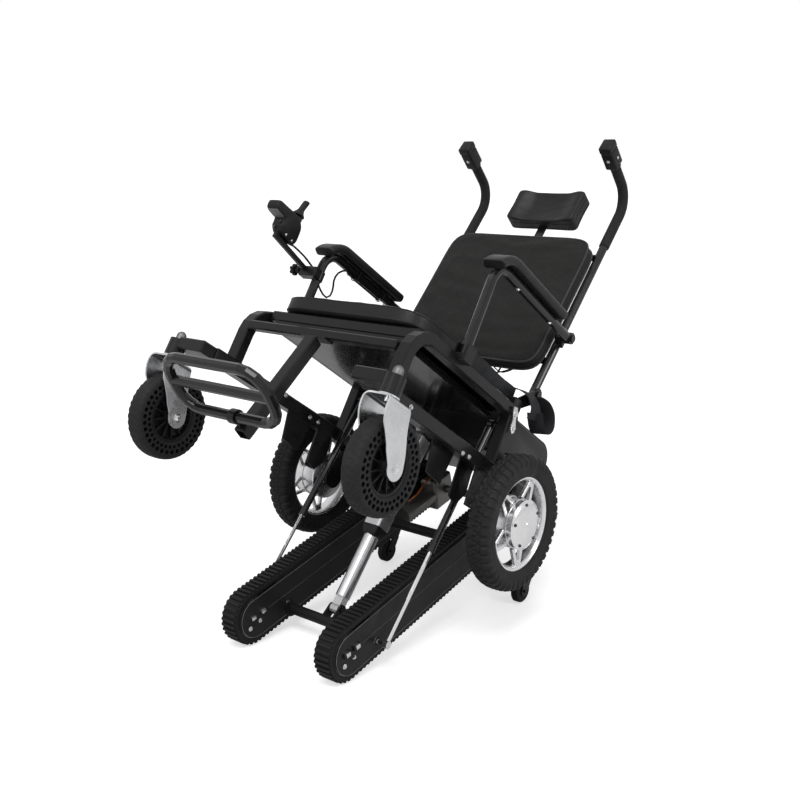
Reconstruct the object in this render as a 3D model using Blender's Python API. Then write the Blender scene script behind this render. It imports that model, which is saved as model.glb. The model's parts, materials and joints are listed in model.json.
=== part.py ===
"""Electric stair climbing chair, standing on its lowered tracks.

The chair is laid out level, in metres: X to the user's left, Y to the rear, Z up,
with the floor point under the rear axle as its own origin. The whole chair hangs
from one empty that tips it back until the lowered tracks and the rear rollers share
the floor, and that empty is placed so that the model stands centred on the origin.
"""
import math

import bmesh
import bpy
from mathutils import Matrix, Vector

GAP = 0.0003          # clearance between touching pieces
TUBE_CHAMFER = 0.003  # cut corners of square tubes
PIN_HEAD = 0.004      # height of a pin's head
FLAT_REST = 0.0005    # how deep a cushion's resting side is cut flat
RUNNING = 0.0006      # clearance of a shaft in its bore
OVERLAP = 0.002       # how far welded pieces reach into each other
SIDES = ((1, "left"), (-1, "right"))

# Rear drive wheels
REAR_RADIUS = 0.1575
REAR_TYRE_WIDTH = 0.058
REAR_RIM_RADIUS = 0.108
REAR_RIM_WIDTH = 0.042
REAR_WHEEL_X = 0.3045
HUB_RADIUS = 0.058
HUB_FACE = 0.028
HUB_DOME_DEPTH = 0.012
HUB_MOTOR_RADIUS = 0.060
AXLE_RADIUS = 0.007
HUB_MOTOR_DEPTH = 0.040
REAR_SPOKES = 5
REAR_SIDES = 32
SPOKE_WIDTH = 0.011
SPOKE_THICKNESS = 0.010
SPOKE_SPACING = 0.010
SPOKE_FACE = 0.014
AXLE_REACH = 0.002
AXLE_PLATE_RADIUS = 0.030
AXLE_PLATE_TOP_HALF = 0.035
AXLE_PLATE_THICKNESS = 0.006

# Side frames
FRAME_X = 0.230
FRAME_WIDTH = 0.036
LOWER_TUBE_Z = 0.250
LOWER_TUBE_HEIGHT = 0.032
LOWER_TUBE_FRONT = 0.555
LOWER_TUBE_REAR = 0.290
RAIL_Z = 0.400
RAIL_THICKNESS = 0.028
RAIL_WIDTH = 0.031
UPRIGHT_FRONT = 0.486
FRONT_BEND = 0.062
REAR_UPRIGHT_FORWARD = 0.052
REAR_UPRIGHT_DEPTH = 0.034
REAR_UPRIGHT_WIDTH = 0.031
REAR_UPRIGHT_TOP = 0.432
HINGE_PLATE_THICKNESS = 0.005
HINGE_PLATE_RADIUS = 0.018
SOCKET_WIDTH = 0.034
SOCKET_DEPTH = 0.035
SOCKET_TOP = 0.440
POST_PLAY = 0.0012
BRACKET_INSET = 0.002
BRACKET_PLATE = 0.004

# Cross bars between the side frames
BAR_SIZE = 0.025
FRONT_BAR_FORWARD = 0.4945
FRONT_BAR_Z = 0.352
SEAT_BAR_FORWARD = 0.438
SEAT_BAR_Z = RAIL_Z + (RAIL_THICKNESS - BAR_SIZE) / 2
FRONT_BAR_SIZE = 0.021
TRAY_THICKNESS = 0.005
TRAY_MARGIN = 0.010
TRAY_FLANGE_LAP = 0.008

# Leg tube and footrest
LEG_SIZE = 0.030
LEG_WALL = 0.003
LEG_TOP_FORWARD = 0.507
LEG_TOP_Z = 0.336
LEG_END_FORWARD = 0.593
LEG_END_Z = 0.0795
LEG_OPEN_DEPTH = 0.060
LEG_PLATE_WIDTH = 0.070
LEG_PLATE_THICKNESS = 0.004
LEG_PLATE_AHEAD = 0.006
LEG_WEB_RISE = 0.003
FOOT_TUBE_RADIUS = 0.0115
FOOT_HINGE_FORWARD = 0.628
FOOT_HINGE_Z = 0.105
FOOT_DEPTH = 0.130
FOOT_MIDDLE_BAR = 0.068
FOOT_WIDTH = 0.280
FOOT_CORNER = 0.050
FOOT_ASIDE = 0.006
FOOT_TILT = math.radians(28.5)
FOOT_LUG_WIDTH = 0.018
FOOT_LUG_RADIUS = 0.0155

# Front casters
CASTER_X = 0.3114
CASTER_STEM_FORWARD = 0.583
CASTER_TRAIL = 0.055
CASTER_RADIUS = 0.0972
CASTER_TYRE_WIDTH = 0.044
CASTER_RIM_RADIUS = 0.056
CASTER_RIM_WIDTH = 0.036
CASTER_SIDES = 24
CASTER_AXLE_RADIUS = 0.005
CASTER_NUT = 0.005
CASTER_NUT_RADIUS = 0.008
BARREL_RADIUS = 0.021
BARREL_BOTTOM = 0.214
BARREL_TOP = 0.258
STEM_RADIUS = 0.007
CAP_RADIUS = 0.011
CAP_HEIGHT = 0.022
FORK_HALF_WIDTH = 0.031
FORK_PLATE = 0.004
FORK_CROWN = 0.013
FORK_FOOT_RADIUS = 0.024
ARM_HEIGHT = 0.028
ARM_DEPTH = 0.042

# Track unit, modelled along the chair's base and lowered by TRACK_LOWERED
TRACK_PIVOT_BACK = 0.2371
TRACK_PIVOT_Z = 0.2468
TRACK_LOWERED = math.radians(46.9)
TRACK_X = 0.1422
TRACK_WIDTH = 0.0466
TRACK_LENGTH = 0.670
TRACK_RADIUS = 0.0642
BELT_THICKNESS = 0.010
CLEAT_HEIGHT = 0.005
CLEAT_PITCH = 0.0205
TRACK_PLATE = 0.004
PLATE_INSET = 0.018
TRACK_CROSS_RADIUS = 0.0125
FRONT_CROSS_AHEAD = 0.565
FRONT_CROSS_DROP = 0.0407
REAR_CROSS_AHEAD = 0.202
DRUM_CLEARANCE = 0.0011
CORE_CLEARANCE = 0.012
SHAFT_RADIUS = 0.010
SHAFT_PROUD = 0.004
IDLER_PIN_RADIUS = 0.008
CLEVIS_PLATE = 0.005
CLEVIS_RADIUS = 0.013
GEARBOX_WIDTH = 0.050
GEARBOX_DEPTH = 0.080
GEARBOX_HEIGHT = 0.084
GEARBOX_AHEAD = 0.010
MOTOR_RADIUS = 0.024
MOTOR_END_AHEAD = 0.165
TENSIONER_AHEAD = 0.651
TENSIONER_PITCH = 0.0315
TENSIONER_RISE = 0.009
TENSIONER_LENGTH = 0.022
TENSIONER_HEIGHT = 0.010
TENSIONER_DEPTH = 0.006

# Actuator between the chair and the front cross tube of the tracks
ACTUATOR_TOP_FORWARD = 0.040
ACTUATOR_TOP_Z = 0.318
ROD_RADIUS = 0.0175
HOUSING_SIZE = 0.046
HOUSING_LENGTH = 0.272
HOUSING_TOP_GAP = 0.008
HOUSING_SOLID = 0.045
COLLAR_LENGTH = 0.024
COLLAR_RADIUS = 0.0215
ROD_ENGAGED = 0.045
EYE_RADIUS = 0.014
EYE_HALF = 0.0115
EYE_NECK = 0.030
EYE_PIN_RADIUS = 0.006
EYE_AHEAD = 0.531
EYE_DROP = 0.028

# Gas struts beside the tracks
STRUT_X = 0.1975
STRUT_TOP_FORWARD = 0.061
STRUT_TOP_Z = 0.358
STRUT_FOOT_AHEAD = 0.590
STRUT_FOOT_DROP = 0.019
STRUT_CYLINDER_RADIUS = 0.0085
STRUT_ROD_RADIUS = 0.0045
STRUT_CYLINDER_LENGTH = 0.340
STRUT_SOLID = 0.100
STRUT_ENGAGED = 0.030
STRUT_EYE_RADIUS = 0.009
STRUT_EYE_HALF = 0.006
STRUT_PIN_RADIUS = 0.004

# Rear rollers that steady the raised chair
ROLLER_X = 0.2165
ROLLER_RADIUS = 0.030
ROLLER_WIDTH = 0.020
ROLLER_BACK = 0.2855
ROLLER_Z = 0.050
ROLLER_FORK = 0.003
ROLLER_ARM = 0.026
ROLLER_CHEEK_RADIUS = 0.013
ROLLER_CLEARANCE = 0.004
ROLLER_PIN_RADIUS = 0.004

# Seat
SEAT_WIDTH = 0.410
SEAT_FRONT = 0.460
SEAT_BACK = 0.020
CUSHION_THICKNESS = 0.046
CUSHION_CROWN = 0.010
CUSHION_DRAW = 0.012
SEAT_BASE_FRONT = 0.455
SEAT_BASE_REAR = 0.058
SEAT_BASE_BOTTOM = 0.372
SEAT_BASE_WIDTH = 0.380

# Lap belt
BELT_WIDTH = 0.050
BELT_WEBBING = 0.002
BELT_X = 0.2085
BELT_FRONT = 0.270
BELT_REAR = 0.030

# Battery case
BATTERY_WIDTH = 0.320
BATTERY_FRONT_BACK = 0.050
BATTERY_REAR_BACK = 0.305
BATTERY_BOTTOM = 0.330
BATTERY_TOP = 0.431
BATTERY_CORNER = 0.050

# Backrest
BACK_TUBE_X = 0.2178
BACK_TUBE_RADIUS = 0.011
BACK_PIVOT_BACK = 0.0335
BACK_PIVOT_Z = 0.478
BACK_LEAN = math.radians(11.0)
BACK_TUBE_LENGTH = 0.500
BACK_TUBE_FOOT = 0.018
BACK_PIN_RADIUS = 0.006
BACK_PIN_HEAD = 0.010
BACK_BAR_LOW = 0.100
BACK_BAR_HIGH = 0.430
BACK_BAR_RADIUS = 0.009
BACK_CUSHION_WIDTH = 0.430
BACK_CUSHION_BOTTOM = 0.053
BACK_CUSHION_TOP = 0.453
BACK_CUSHION_THICKNESS = 0.044
BACK_CUSHION_CROWN = 0.007
BACK_CUSHION_SQUARE = 9.0

# Push grips, measured along the leaning back tubes and ahead of them
GRIP_RADIUS = 0.0135
GRIP_START = 0.467
GRIP_CORNER = 0.6354
GRIP_BEND = 0.0626
GRIP_REACH = 0.119
GRIP_RISE = math.radians(3.4)
GRIP_BOX_WIDTH = 0.033
GRIP_BOX_HEIGHT = 0.039
GRIP_BOX_LENGTH = 0.073

# Headrest
STEM_BEHIND = 0.0115
STEM_BELOW = 0.085
STEM_ABOVE = 0.010
STEM_WIDTH = 0.024
STEM_THICKNESS = 0.006
SOCKET_WALL = 0.008
SOCKET_BLOCK_WIDTH = 0.042
SOCKET_BLOCK_HEIGHT = 0.036
HEAD_PAD_HEIGHT = 0.586
HEAD_PAD_WIDTH = 0.212
HEAD_PAD_TALL = 0.107
HEAD_PAD_THICKNESS = 0.040
HEAD_PAD_DISH = 0.006
HEAD_PAD_WINGS = 0.012

# Armrests
ARM_X = 0.250
ARM_TUBE_RADIUS = 0.0115
ARM_PIVOT_FORWARD = -0.050
ARM_PIVOT_Z = 0.643
ARM_POST_FORWARD = 0.326
ARM_POST_BOTTOM = 0.4158
ARM_DROP = 0.004
ARM_BEND = 0.045
ARM_BEND_STEPS = 7
ARM_EYE_RADIUS = 0.0145
ARM_BOLT_RADIUS = 0.005
ARM_BOLT_HEAD = 0.009
LUG_RADIUS = 0.013
LUG_SPREAD = 0.008
PAD_REAR = 0.030
PAD_THICKNESS = 0.022
PAD_WIDTH = 0.058
PAD_WRAP_STEPS = 4

# Controller on the right armrest
CLAMP_REAR = 0.330
CLAMP_FRONT = 0.354
CLAMP_INNER = 0.014
CLAMP_OUTER = 0.041
CLAMP_HEIGHT = 0.026
CLAMP_Z = 0.5685
CLAMP_STRAP = 0.0028
KNOB_FORWARD = 0.351
KNOB_RADIUS = 0.0145
KNOB_VALLEY = 0.004
KNOB_LOBES = 6
KNOB_NECK = 0.012
KNOB_DEPTH = 0.012
CONTROL_ASIDE = -0.025
CONTROL_BAR_Z = 0.5722
CONTROL_BAR_END = 0.486
CONTROL_BAR_END_Z = 0.5905
CONTROL_BAR_WIDTH = 0.0105
CONTROL_BAR_HEIGHT = 0.0115
CONTROL_SEAT = 0.455
CONTROL_SEAT_LENGTH = 0.030
CONTROL_SEAT_RISE = 0.003
CONTROL_TOP = 0.661
CONTROL_WIDTH = 0.038
CONTROL_REAR = 0.4262
CONTROL_FRONT = 0.528
CONTROL_STEP = 0.492
CONTROL_NOSE = 0.022
CONTROL_CORNER = 0.012
STICK_FORWARD = 0.443
STICK_PIVOT_Z = 0.652
STICK_HEIGHT = 0.061
STICK_STEM = 0.003
STICK_SKIRT = 0.0175
STICK_HOOD = 0.0145
STICK_LEAN = math.radians(15.0)
STICK_RING_BASE = 0.0150
STICK_RING_TOP = 0.0125
STICK_RING_HEIGHT = 0.0045
STICK_RING_DEEP = 0.018
STICK_POCKET_RADIUS = 0.011
GIMBAL_RADIUS = 0.0025
GIMBAL_HALF = 0.006
BUTTON_FORWARD = 0.506
BUTTON_RADIUS = 0.006
BUTTON_PROUD = 0.0015
BUTTON_HEIGHT = 0.0045
BUTTON_DEPTH = 0.005
GLAND_REAR = 0.422
GLAND_LENGTH = 0.014
GLAND_SIZE = 0.009
GLAND_Z = 0.5993
CABLE_RADIUS = 0.0025


def place(forward, height, side=0.0):
    """A point of the level chair: metres ahead of the rear axle, above the floor, to the left."""
    return Vector((side, -forward, height))


def clear_scene():
    for old in list(bpy.data.objects):
        bpy.data.objects.remove(old, do_unlink=True)


def empty(name, parent, location, pitch=0.0):
    """An empty on a joint's axis, pitched about the chair's left to right direction."""
    pivot = bpy.data.objects.new(name, None)
    bpy.context.scene.collection.objects.link(pivot)
    pivot.parent = parent
    pivot.location = location
    pivot.rotation_euler.x = pitch
    return pivot


def material(name, colour, roughness, metallic):
    made = bpy.data.materials.new(name)
    made.use_nodes = True
    shader = made.node_tree.nodes["Principled BSDF"]
    shader.inputs["Base Color"].default_value = (*colour, 1.0)
    shader.inputs["Roughness"].default_value = roughness
    shader.inputs["Metallic"].default_value = metallic
    return made


FINISHES = {
    "black_paint": ((0.022, 0.022, 0.024), 0.38, 0.3),
    "black_plastic": ((0.018, 0.018, 0.019), 0.30, 0.0),
    "tyre_rubber": ((0.060, 0.060, 0.063), 0.75, 0.0),
    "belt_rubber": ((0.030, 0.030, 0.031), 0.70, 0.0),
    "leather": ((0.025, 0.025, 0.026), 0.42, 0.0),
    "cover_cloth": ((0.045, 0.045, 0.047), 0.60, 0.0),
    "alloy": ((0.78, 0.78, 0.79), 0.25, 0.9),
    "zinc": ((0.70, 0.70, 0.72), 0.28, 0.95),
    "anodised": ((0.72, 0.72, 0.74), 0.35, 0.85),
    "grey_metal": ((0.28, 0.27, 0.26), 0.45, 0.7),
    "webbing": ((0.05, 0.05, 0.052), 0.70, 0.0),
}


def add(name, shape, finish, parent, location=(0.0, 0.0, 0.0), crease=35.0):
    """Make the named sub-part from a bmesh, with a material of its own."""
    bmesh.ops.recalc_face_normals(shape, faces=shape.faces)
    many = [face for face in shape.faces if len(face.verts) > 4]
    bmesh.ops.triangulate(shape, faces=many)
    mesh = bpy.data.meshes.new(name)
    shape.to_mesh(mesh)
    shape.free()
    mesh.shade_smooth()
    mesh.set_sharp_from_angle(angle=math.radians(crease))
    mesh.materials.append(material(name, *FINISHES[finish]))
    part = bpy.data.objects.new(name, mesh)
    bpy.context.scene.collection.objects.link(part)
    part.parent = parent
    part.location = location
    return part


def shape_with(part, shape, operation):
    """Join a bmesh to a part, or cut it out, in the part's own space."""
    bmesh.ops.recalc_face_normals(shape, faces=shape.faces)
    tool_name = part.name + "_tool"
    mesh = bpy.data.meshes.new(tool_name)
    shape.to_mesh(mesh)
    shape.free()
    tool = bpy.data.objects.new(tool_name, mesh)
    bpy.context.scene.collection.objects.link(tool)
    tool.parent = part.parent
    tool.location = part.location
    tool.hide_render = True
    tool.display_type = "WIRE"
    change = part.modifiers.new(operation.lower(), "BOOLEAN")
    change.operation = operation
    change.solver = "EXACT"
    change.object = tool


def weld(part, shape):
    shape_with(part, shape, "UNION")


def cut(part, shape):
    shape_with(part, shape, "DIFFERENCE")


def merged(*shapes):
    """Several separate solids in one bmesh."""
    whole = bmesh.new()
    for shape in shapes:
        mesh = bpy.data.meshes.new("merge")
        shape.to_mesh(mesh)
        shape.free()
        whole.from_mesh(mesh)
        bpy.data.meshes.remove(mesh)
    return whole


def block(size, centre, pitch=0.0, bevel=0.0, steps=1):
    """A box of the given size, pitched about X through its centre."""
    shape = bmesh.new()
    bmesh.ops.create_cube(shape, size=1.0)
    bmesh.ops.scale(shape, vec=Vector(size), verts=shape.verts)
    if bevel:
        bmesh.ops.bevel(shape, geom=shape.edges[:], offset=bevel, segments=steps,
                        profile=0.5, affect="EDGES")
    turn = Matrix.Translation(Vector(centre)) @ Matrix.Rotation(pitch, 4, "X")
    bmesh.ops.transform(shape, matrix=turn, verts=shape.verts)
    return shape


def rod(start, end, radius, sides=16):
    """A round bar between two points."""
    start = Vector(start)
    end = Vector(end)
    shape = bmesh.new()
    bmesh.ops.create_cone(shape, cap_ends=True, segments=sides, radius1=radius,
                          radius2=radius, depth=(end - start).length)
    turn = (end - start).to_track_quat("Z", "Y").to_matrix().to_4x4()
    middle = Matrix.Translation((start + end) / 2)
    bmesh.ops.transform(shape, matrix=middle @ turn, verts=shape.verts)
    return shape


def prism(outline, low, high, axis="X"):
    """Extrude an outline of (forward, height) along X, or of (side, height) along Y."""
    shape = bmesh.new()
    rings = []
    for reach in (low, high):
        ring = []
        for across, height in outline:
            if axis == "X":
                point = (reach, -across, height)
            else:
                point = (across, reach, height)
            ring.append(shape.verts.new(point))
        rings.append(ring)
    count = len(outline)
    for index in range(count):
        after = (index + 1) % count
        shape.faces.new((rings[0][index], rings[0][after], rings[1][after], rings[1][index]))
    shape.faces.new(rings[0])
    shape.faces.new(rings[1])
    return shape


def turned(profile, sides, x=0.0, closed=True):
    """Spin (x, radius) points about the X axis; radius 0 makes a pole."""
    shape = bmesh.new()
    rings = []
    for along, radius in profile:
        if radius == 0.0:
            rings.append([shape.verts.new((x + along, 0.0, 0.0))])
            continue
        ring = []
        for step in range(sides):
            angle = math.tau * step / sides
            place_at = (x + along, radius * math.cos(angle), radius * math.sin(angle))
            ring.append(shape.verts.new(place_at))
        rings.append(ring)
    last = len(rings) if closed else len(rings) - 1
    for index in range(last):
        one = rings[index]
        two = rings[(index + 1) % len(rings)]
        for step in range(sides):
            after = (step + 1) % sides
            if len(one) == 1:
                shape.faces.new((one[0], two[after], two[step]))
            elif len(two) == 1:
                shape.faces.new((one[step], one[after], two[0]))
            else:
                shape.faces.new((one[step], one[after], two[after], two[step]))
    return shape


def rounded(points, radius, steps=6, closed=False):
    """Replace each corner of a line of points by an arc."""
    count = len(points)
    line = []
    for index, corner in enumerate(points):
        at_end = index in (0, count - 1)
        if at_end and not closed:
            line.append(Vector(corner))
            continue
        before = (points[index - 1] - corner).normalized()
        after = (points[(index + 1) % count] - corner).normalized()
        half = before.angle(after) / 2
        reach = radius / math.tan(half)
        middle = corner + (before + after).normalized() * radius / math.sin(half)
        first = corner + before * reach - middle
        last = corner + after * reach - middle
        sweep = first.angle(last)
        normal = first.cross(last).normalized()
        for step in range(steps + 1):
            turn = Matrix.Rotation(sweep * step / steps, 3, normal)
            line.append(middle + turn @ first)
    return line


def swept(path, section, side, closed=False):
    """Carry a section of (out, side) points along a flat path, mitred at its corners."""
    shape = bmesh.new()
    side = Vector(side).normalized()
    count = len(path)
    rings = []
    for index, point in enumerate(path):
        before = path[index - 1] if index or closed else None
        after = path[(index + 1) % count] if index < count - 1 or closed else None
        come = (point - before).normalized() if before is not None else None
        leave = (after - point).normalized() if after is not None else None
        if come is None:
            come = leave
        if leave is None:
            leave = come
        ahead = (come + leave).normalized()
        stretch = 1.0 / max(0.2, ahead.dot(leave))
        out = side.cross(ahead)
        ring = [shape.verts.new(point + out * a * stretch + side * b) for a, b in section]
        rings.append(ring)
    last = count if closed else count - 1
    size = len(section)
    for index in range(last):
        one = rings[index]
        two = rings[(index + 1) % count]
        for step in range(size):
            after = (step + 1) % size
            shape.faces.new((one[step], one[after], two[after], two[step]))
    if not closed:
        shape.faces.new(rings[0])
        shape.faces.new(rings[-1])
    return shape


def square_section(depth, width, chamfer=0.003):
    """A rectangle with cut corners: depth in the path's plane, width across it."""
    a = depth / 2
    b = width / 2
    c = chamfer
    return [(a - c, -b), (a, -b + c), (a, b - c), (a - c, b),
            (-a + c, b), (-a, b - c), (-a, -b + c), (-a + c, -b)]


def round_section(radius, sides=10):
    turns = [math.tau * step / sides for step in range(sides)]
    return [(radius * math.cos(turn), radius * math.sin(turn)) for turn in turns]


def arc(centre, radius, start, end, steps):
    """Points of (forward, height) round a centre, from one angle to another in degrees."""
    points = []
    for step in range(steps + 1):
        angle = math.radians(start + (end - start) * step / steps)
        points.append((centre[0] + radius * math.cos(angle),
                       centre[1] + radius * math.sin(angle)))
    return points


def turn_of(forward, height, pitch):
    """Where a point ends up when its frame is pitched front down by an angle."""
    ahead = forward * math.cos(pitch) + height * math.sin(pitch)
    up = height * math.cos(pitch) - forward * math.sin(pitch)
    return ahead, up


def pillow(size, crown, draw, power=7.0, cuts=6, wings=0.0):
    """A stuffed block: crowned on top, flat below, its sides drawn in between the corners."""
    shape = bmesh.new()
    bmesh.ops.create_cube(shape, size=2.0)
    bmesh.ops.subdivide_edges(shape, edges=shape.edges[:], cuts=cuts, use_grid_fill=True)
    for vert in shape.verts:
        x, y, z = vert.co
        reach = max(abs(x), abs(y), abs(z))
        norm = (abs(x) ** power + abs(y) ** power + abs(z) ** power) ** (1.0 / power)
        x, y, z = (value * reach / norm for value in (x, y, z))
        swell = (1.0 - x * x) * (1.0 - y * y)
        across = x * size[0] / 2 * (1.0 - draw * (1.0 - y * y))
        along = y * size[1] / 2 * (1.0 - draw * (1.0 - x * x))
        height = z * size[2] / 2
        if z > 0.0:
            height += z * (crown * swell + wings * x * x)
        vert.co = (across, along, height)
    lowest = min(vert.co.z for vert in shape.verts)
    for vert in shape.verts:
        vert.co.z = max(vert.co.z, lowest + FLAT_REST)
    return shape


def moved(shape, offset, turn=None):
    matrix = Matrix.Translation(Vector(offset))
    if turn is not None:
        matrix = matrix @ turn
    bmesh.ops.transform(shape, matrix=matrix, verts=shape.verts)
    return shape


def side_frame(side, word, chair):
    """Lower tube, bent front upright with seat rail, rear upright, and what is welded on."""
    x = side * FRAME_X
    length = LOWER_TUBE_FRONT + LOWER_TUBE_REAR
    middle = (LOWER_TUBE_FRONT - LOWER_TUBE_REAR) / 2
    lower = block((FRAME_WIDTH, length, LOWER_TUBE_HEIGHT), place(middle, LOWER_TUBE_Z, x),
                  bevel=TUBE_CHAMFER)
    frame = add("side_frame_" + word, lower, "black_paint", chair)
    line = [place(UPRIGHT_FRONT, LOWER_TUBE_Z, x), place(UPRIGHT_FRONT, RAIL_Z, x),
            place(REAR_UPRIGHT_FORWARD, RAIL_Z, x)]
    section = square_section(RAIL_THICKNESS, RAIL_WIDTH)
    weld(frame, swept(rounded(line, FRONT_BEND, 5), section, (1, 0, 0)))
    height = REAR_UPRIGHT_TOP - LOWER_TUBE_Z
    weld(frame, block((REAR_UPRIGHT_WIDTH, REAR_UPRIGHT_DEPTH, height),
                      place(REAR_UPRIGHT_FORWARD, LOWER_TUBE_Z + height / 2, x),
                      bevel=TUBE_CHAMFER))
    weld(frame, hinge_plate(side))
    weld(frame, socket_block(side))
    weld(frame, rod(place(STRUT_TOP_FORWARD, STRUT_TOP_Z, x),
                    place(STRUT_TOP_FORWARD, STRUT_TOP_Z, side * (STRUT_X - STRUT_EYE_HALF - GAP)),
                    STRUT_PIN_RADIUS, 12))
    axle_plate(frame, side)
    roller_arm(frame, side)
    weld(frame, hanging_plates(side))
    slot_top = SOCKET_TOP + OVERLAP
    slot_floor = ARM_POST_BOTTOM - GAP
    back_wall = ARM_POST_FORWARD - ARM_TUBE_RADIUS - POST_PLAY
    slot_depth = SOCKET_DEPTH
    cut(frame, block((2 * (ARM_TUBE_RADIUS + POST_PLAY), slot_depth, slot_top - slot_floor),
                     place(back_wall + slot_depth / 2, (slot_top + slot_floor) / 2,
                           side * ARM_X)))
    cut(frame, rod(place(-TRACK_PIVOT_BACK, TRACK_PIVOT_Z, x - FRAME_WIDTH),
                   place(-TRACK_PIVOT_BACK, TRACK_PIVOT_Z, x + FRAME_WIDTH),
                   SHAFT_RADIUS + RUNNING, 20))
    cut(frame, rod(place(-BACK_PIVOT_BACK, BACK_PIVOT_Z, x - FRAME_WIDTH),
                   place(-BACK_PIVOT_BACK, BACK_PIVOT_Z, x + FRAME_WIDTH),
                   BACK_PIN_RADIUS + RUNNING, 16))
    return frame


def hinge_plate(side):
    """The plate beside the back tube that carries the backrest's pivot pin."""
    inner = BACK_TUBE_X + BACK_TUBE_RADIUS + GAP
    pivot = (-BACK_PIVOT_BACK, BACK_PIVOT_Z)
    outline = [(REAR_UPRIGHT_FORWARD, RAIL_Z), (REAR_UPRIGHT_FORWARD, REAR_UPRIGHT_TOP - OVERLAP)]
    outline += arc(pivot, HINGE_PLATE_RADIUS, 75, 240, 6)
    return prism(outline, side * inner, side * (inner + HINGE_PLATE_THICKNESS))


def socket_block(side):
    """The block on the seat rail whose open front slot receives the armrest's post."""
    top_to_rail = SOCKET_TOP - RAIL_Z
    return block((SOCKET_WIDTH, SOCKET_DEPTH, top_to_rail),
                 place(ARM_POST_FORWARD, RAIL_Z + top_to_rail / 2, side * ARM_X),
                 bevel=TUBE_CHAMFER / 2)


def cross_bar(name, forward, height, size, chair):
    """A square bar between the side frames."""
    width = 2 * (FRAME_X - RAIL_WIDTH / 2 - GAP)
    shape = block((width, size, size), place(forward, height), bevel=TUBE_CHAMFER)
    return add(name, shape, "black_paint", chair)


def rear_bar(chair):
    """The bar between the rear uprights, with the hanger and pin that hold the actuator."""
    bar = cross_bar("rear_bar", REAR_UPRIGHT_FORWARD, SEAT_BAR_Z, BAR_SIZE, chair)
    outline = [(ACTUATOR_TOP_FORWARD + EYE_RADIUS, SEAT_BAR_Z),
               (ACTUATOR_TOP_FORWARD - EYE_RADIUS, SEAT_BAR_Z)]
    outline += arc((ACTUATOR_TOP_FORWARD, ACTUATOR_TOP_Z), EYE_RADIUS, 180, 360, 8)
    hangers = []
    for side in (-1, 1):
        inner = side * (EYE_HALF + GAP)
        hangers.append(prism(outline, inner, inner + side * CLEVIS_PLATE))
    weld(bar, merged(*hangers))
    pin_end = EYE_HALF + CLEVIS_PLATE + PIN_HEAD
    weld(bar, rod(place(ACTUATOR_TOP_FORWARD, ACTUATOR_TOP_Z, -pin_end),
                  place(ACTUATOR_TOP_FORWARD, ACTUATOR_TOP_Z, pin_end), EYE_PIN_RADIUS, 12))
    return bar


def battery_tray(chair):
    """A folded plate between the lower tubes that carries the battery case."""
    width = 2 * (FRAME_X - FRAME_WIDTH / 2 - GAP)
    middle = -(BATTERY_FRONT_BACK + BATTERY_REAR_BACK) / 2
    depth = BATTERY_REAR_BACK - BATTERY_FRONT_BACK - 2 * TRAY_MARGIN
    height = BATTERY_BOTTOM - GAP - TRAY_THICKNESS / 2
    tray = add("battery_tray", block((width, depth, TRAY_THICKNESS), place(middle, height)),
               "black_paint", chair)
    flange_bottom = LOWER_TUBE_Z + LOWER_TUBE_HEIGHT / 2 - TRAY_FLANGE_LAP
    flange_height = height - flange_bottom
    flanges = []
    for side in (-1, 1):
        x = side * (width / 2 - TRAY_THICKNESS / 2)
        flanges.append(block((TRAY_THICKNESS, depth - OVERLAP, flange_height),
                             place(middle, flange_bottom + flange_height / 2, x)))
    weld(tray, merged(*flanges))
    return tray


def leg_frame(chair):
    """Front bar with the square tube down to the footrest, open below, and its hinge boss."""
    top = place(LEG_TOP_FORWARD, LEG_TOP_Z)
    end = place(LEG_END_FORWARD, LEG_END_Z)
    down = (end - top).normalized()
    lean = math.atan2(-down.y, -down.z)
    middle = (top + end) / 2
    length = (end - top).length
    leg = cross_bar("leg_frame", FRONT_BAR_FORWARD, FRONT_BAR_Z, FRONT_BAR_SIZE, chair)
    weld(leg, block((LEG_SIZE, LEG_SIZE, length), middle, pitch=-lean, bevel=TUBE_CHAMFER))
    plate_z = FRONT_BAR_Z - FRONT_BAR_SIZE / 2 - LEG_PLATE_THICKNESS / 2 + GAP
    weld(leg, block((LEG_PLATE_WIDTH, LEG_SIZE, LEG_PLATE_THICKNESS),
                    place(FRONT_BAR_FORWARD + LEG_PLATE_AHEAD, plate_z)))
    boss = rod(place(FOOT_HINGE_FORWARD, FOOT_HINGE_Z, -FOOT_LUG_WIDTH / 2),
               place(FOOT_HINGE_FORWARD, FOOT_HINGE_Z, FOOT_LUG_WIDTH / 2), FOOT_LUG_RADIUS, 20)
    weld(leg, boss)
    web_middle = (FOOT_HINGE_FORWARD + LEG_END_FORWARD) / 2
    web_depth = FOOT_HINGE_FORWARD - LEG_END_FORWARD
    weld(leg, block((FOOT_LUG_WIDTH - OVERLAP, web_depth, FOOT_LUG_RADIUS * 1.4),
                    place(web_middle, FOOT_HINGE_Z + LEG_WEB_RISE)))
    inside = LEG_SIZE - 2 * LEG_WALL
    hollow_centre = end - down * (LEG_OPEN_DEPTH / 2 - OVERLAP)
    cut(leg, block((inside, inside, LEG_OPEN_DEPTH), hollow_centre, pitch=-lean))
    cut(leg, rod(place(FOOT_HINGE_FORWARD, FOOT_HINGE_Z, -FOOT_LUG_WIDTH),
                 place(FOOT_HINGE_FORWARD, FOOT_HINGE_Z, FOOT_LUG_WIDTH),
                 FOOT_TUBE_RADIUS + RUNNING + GAP, 20))
    return leg


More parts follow.
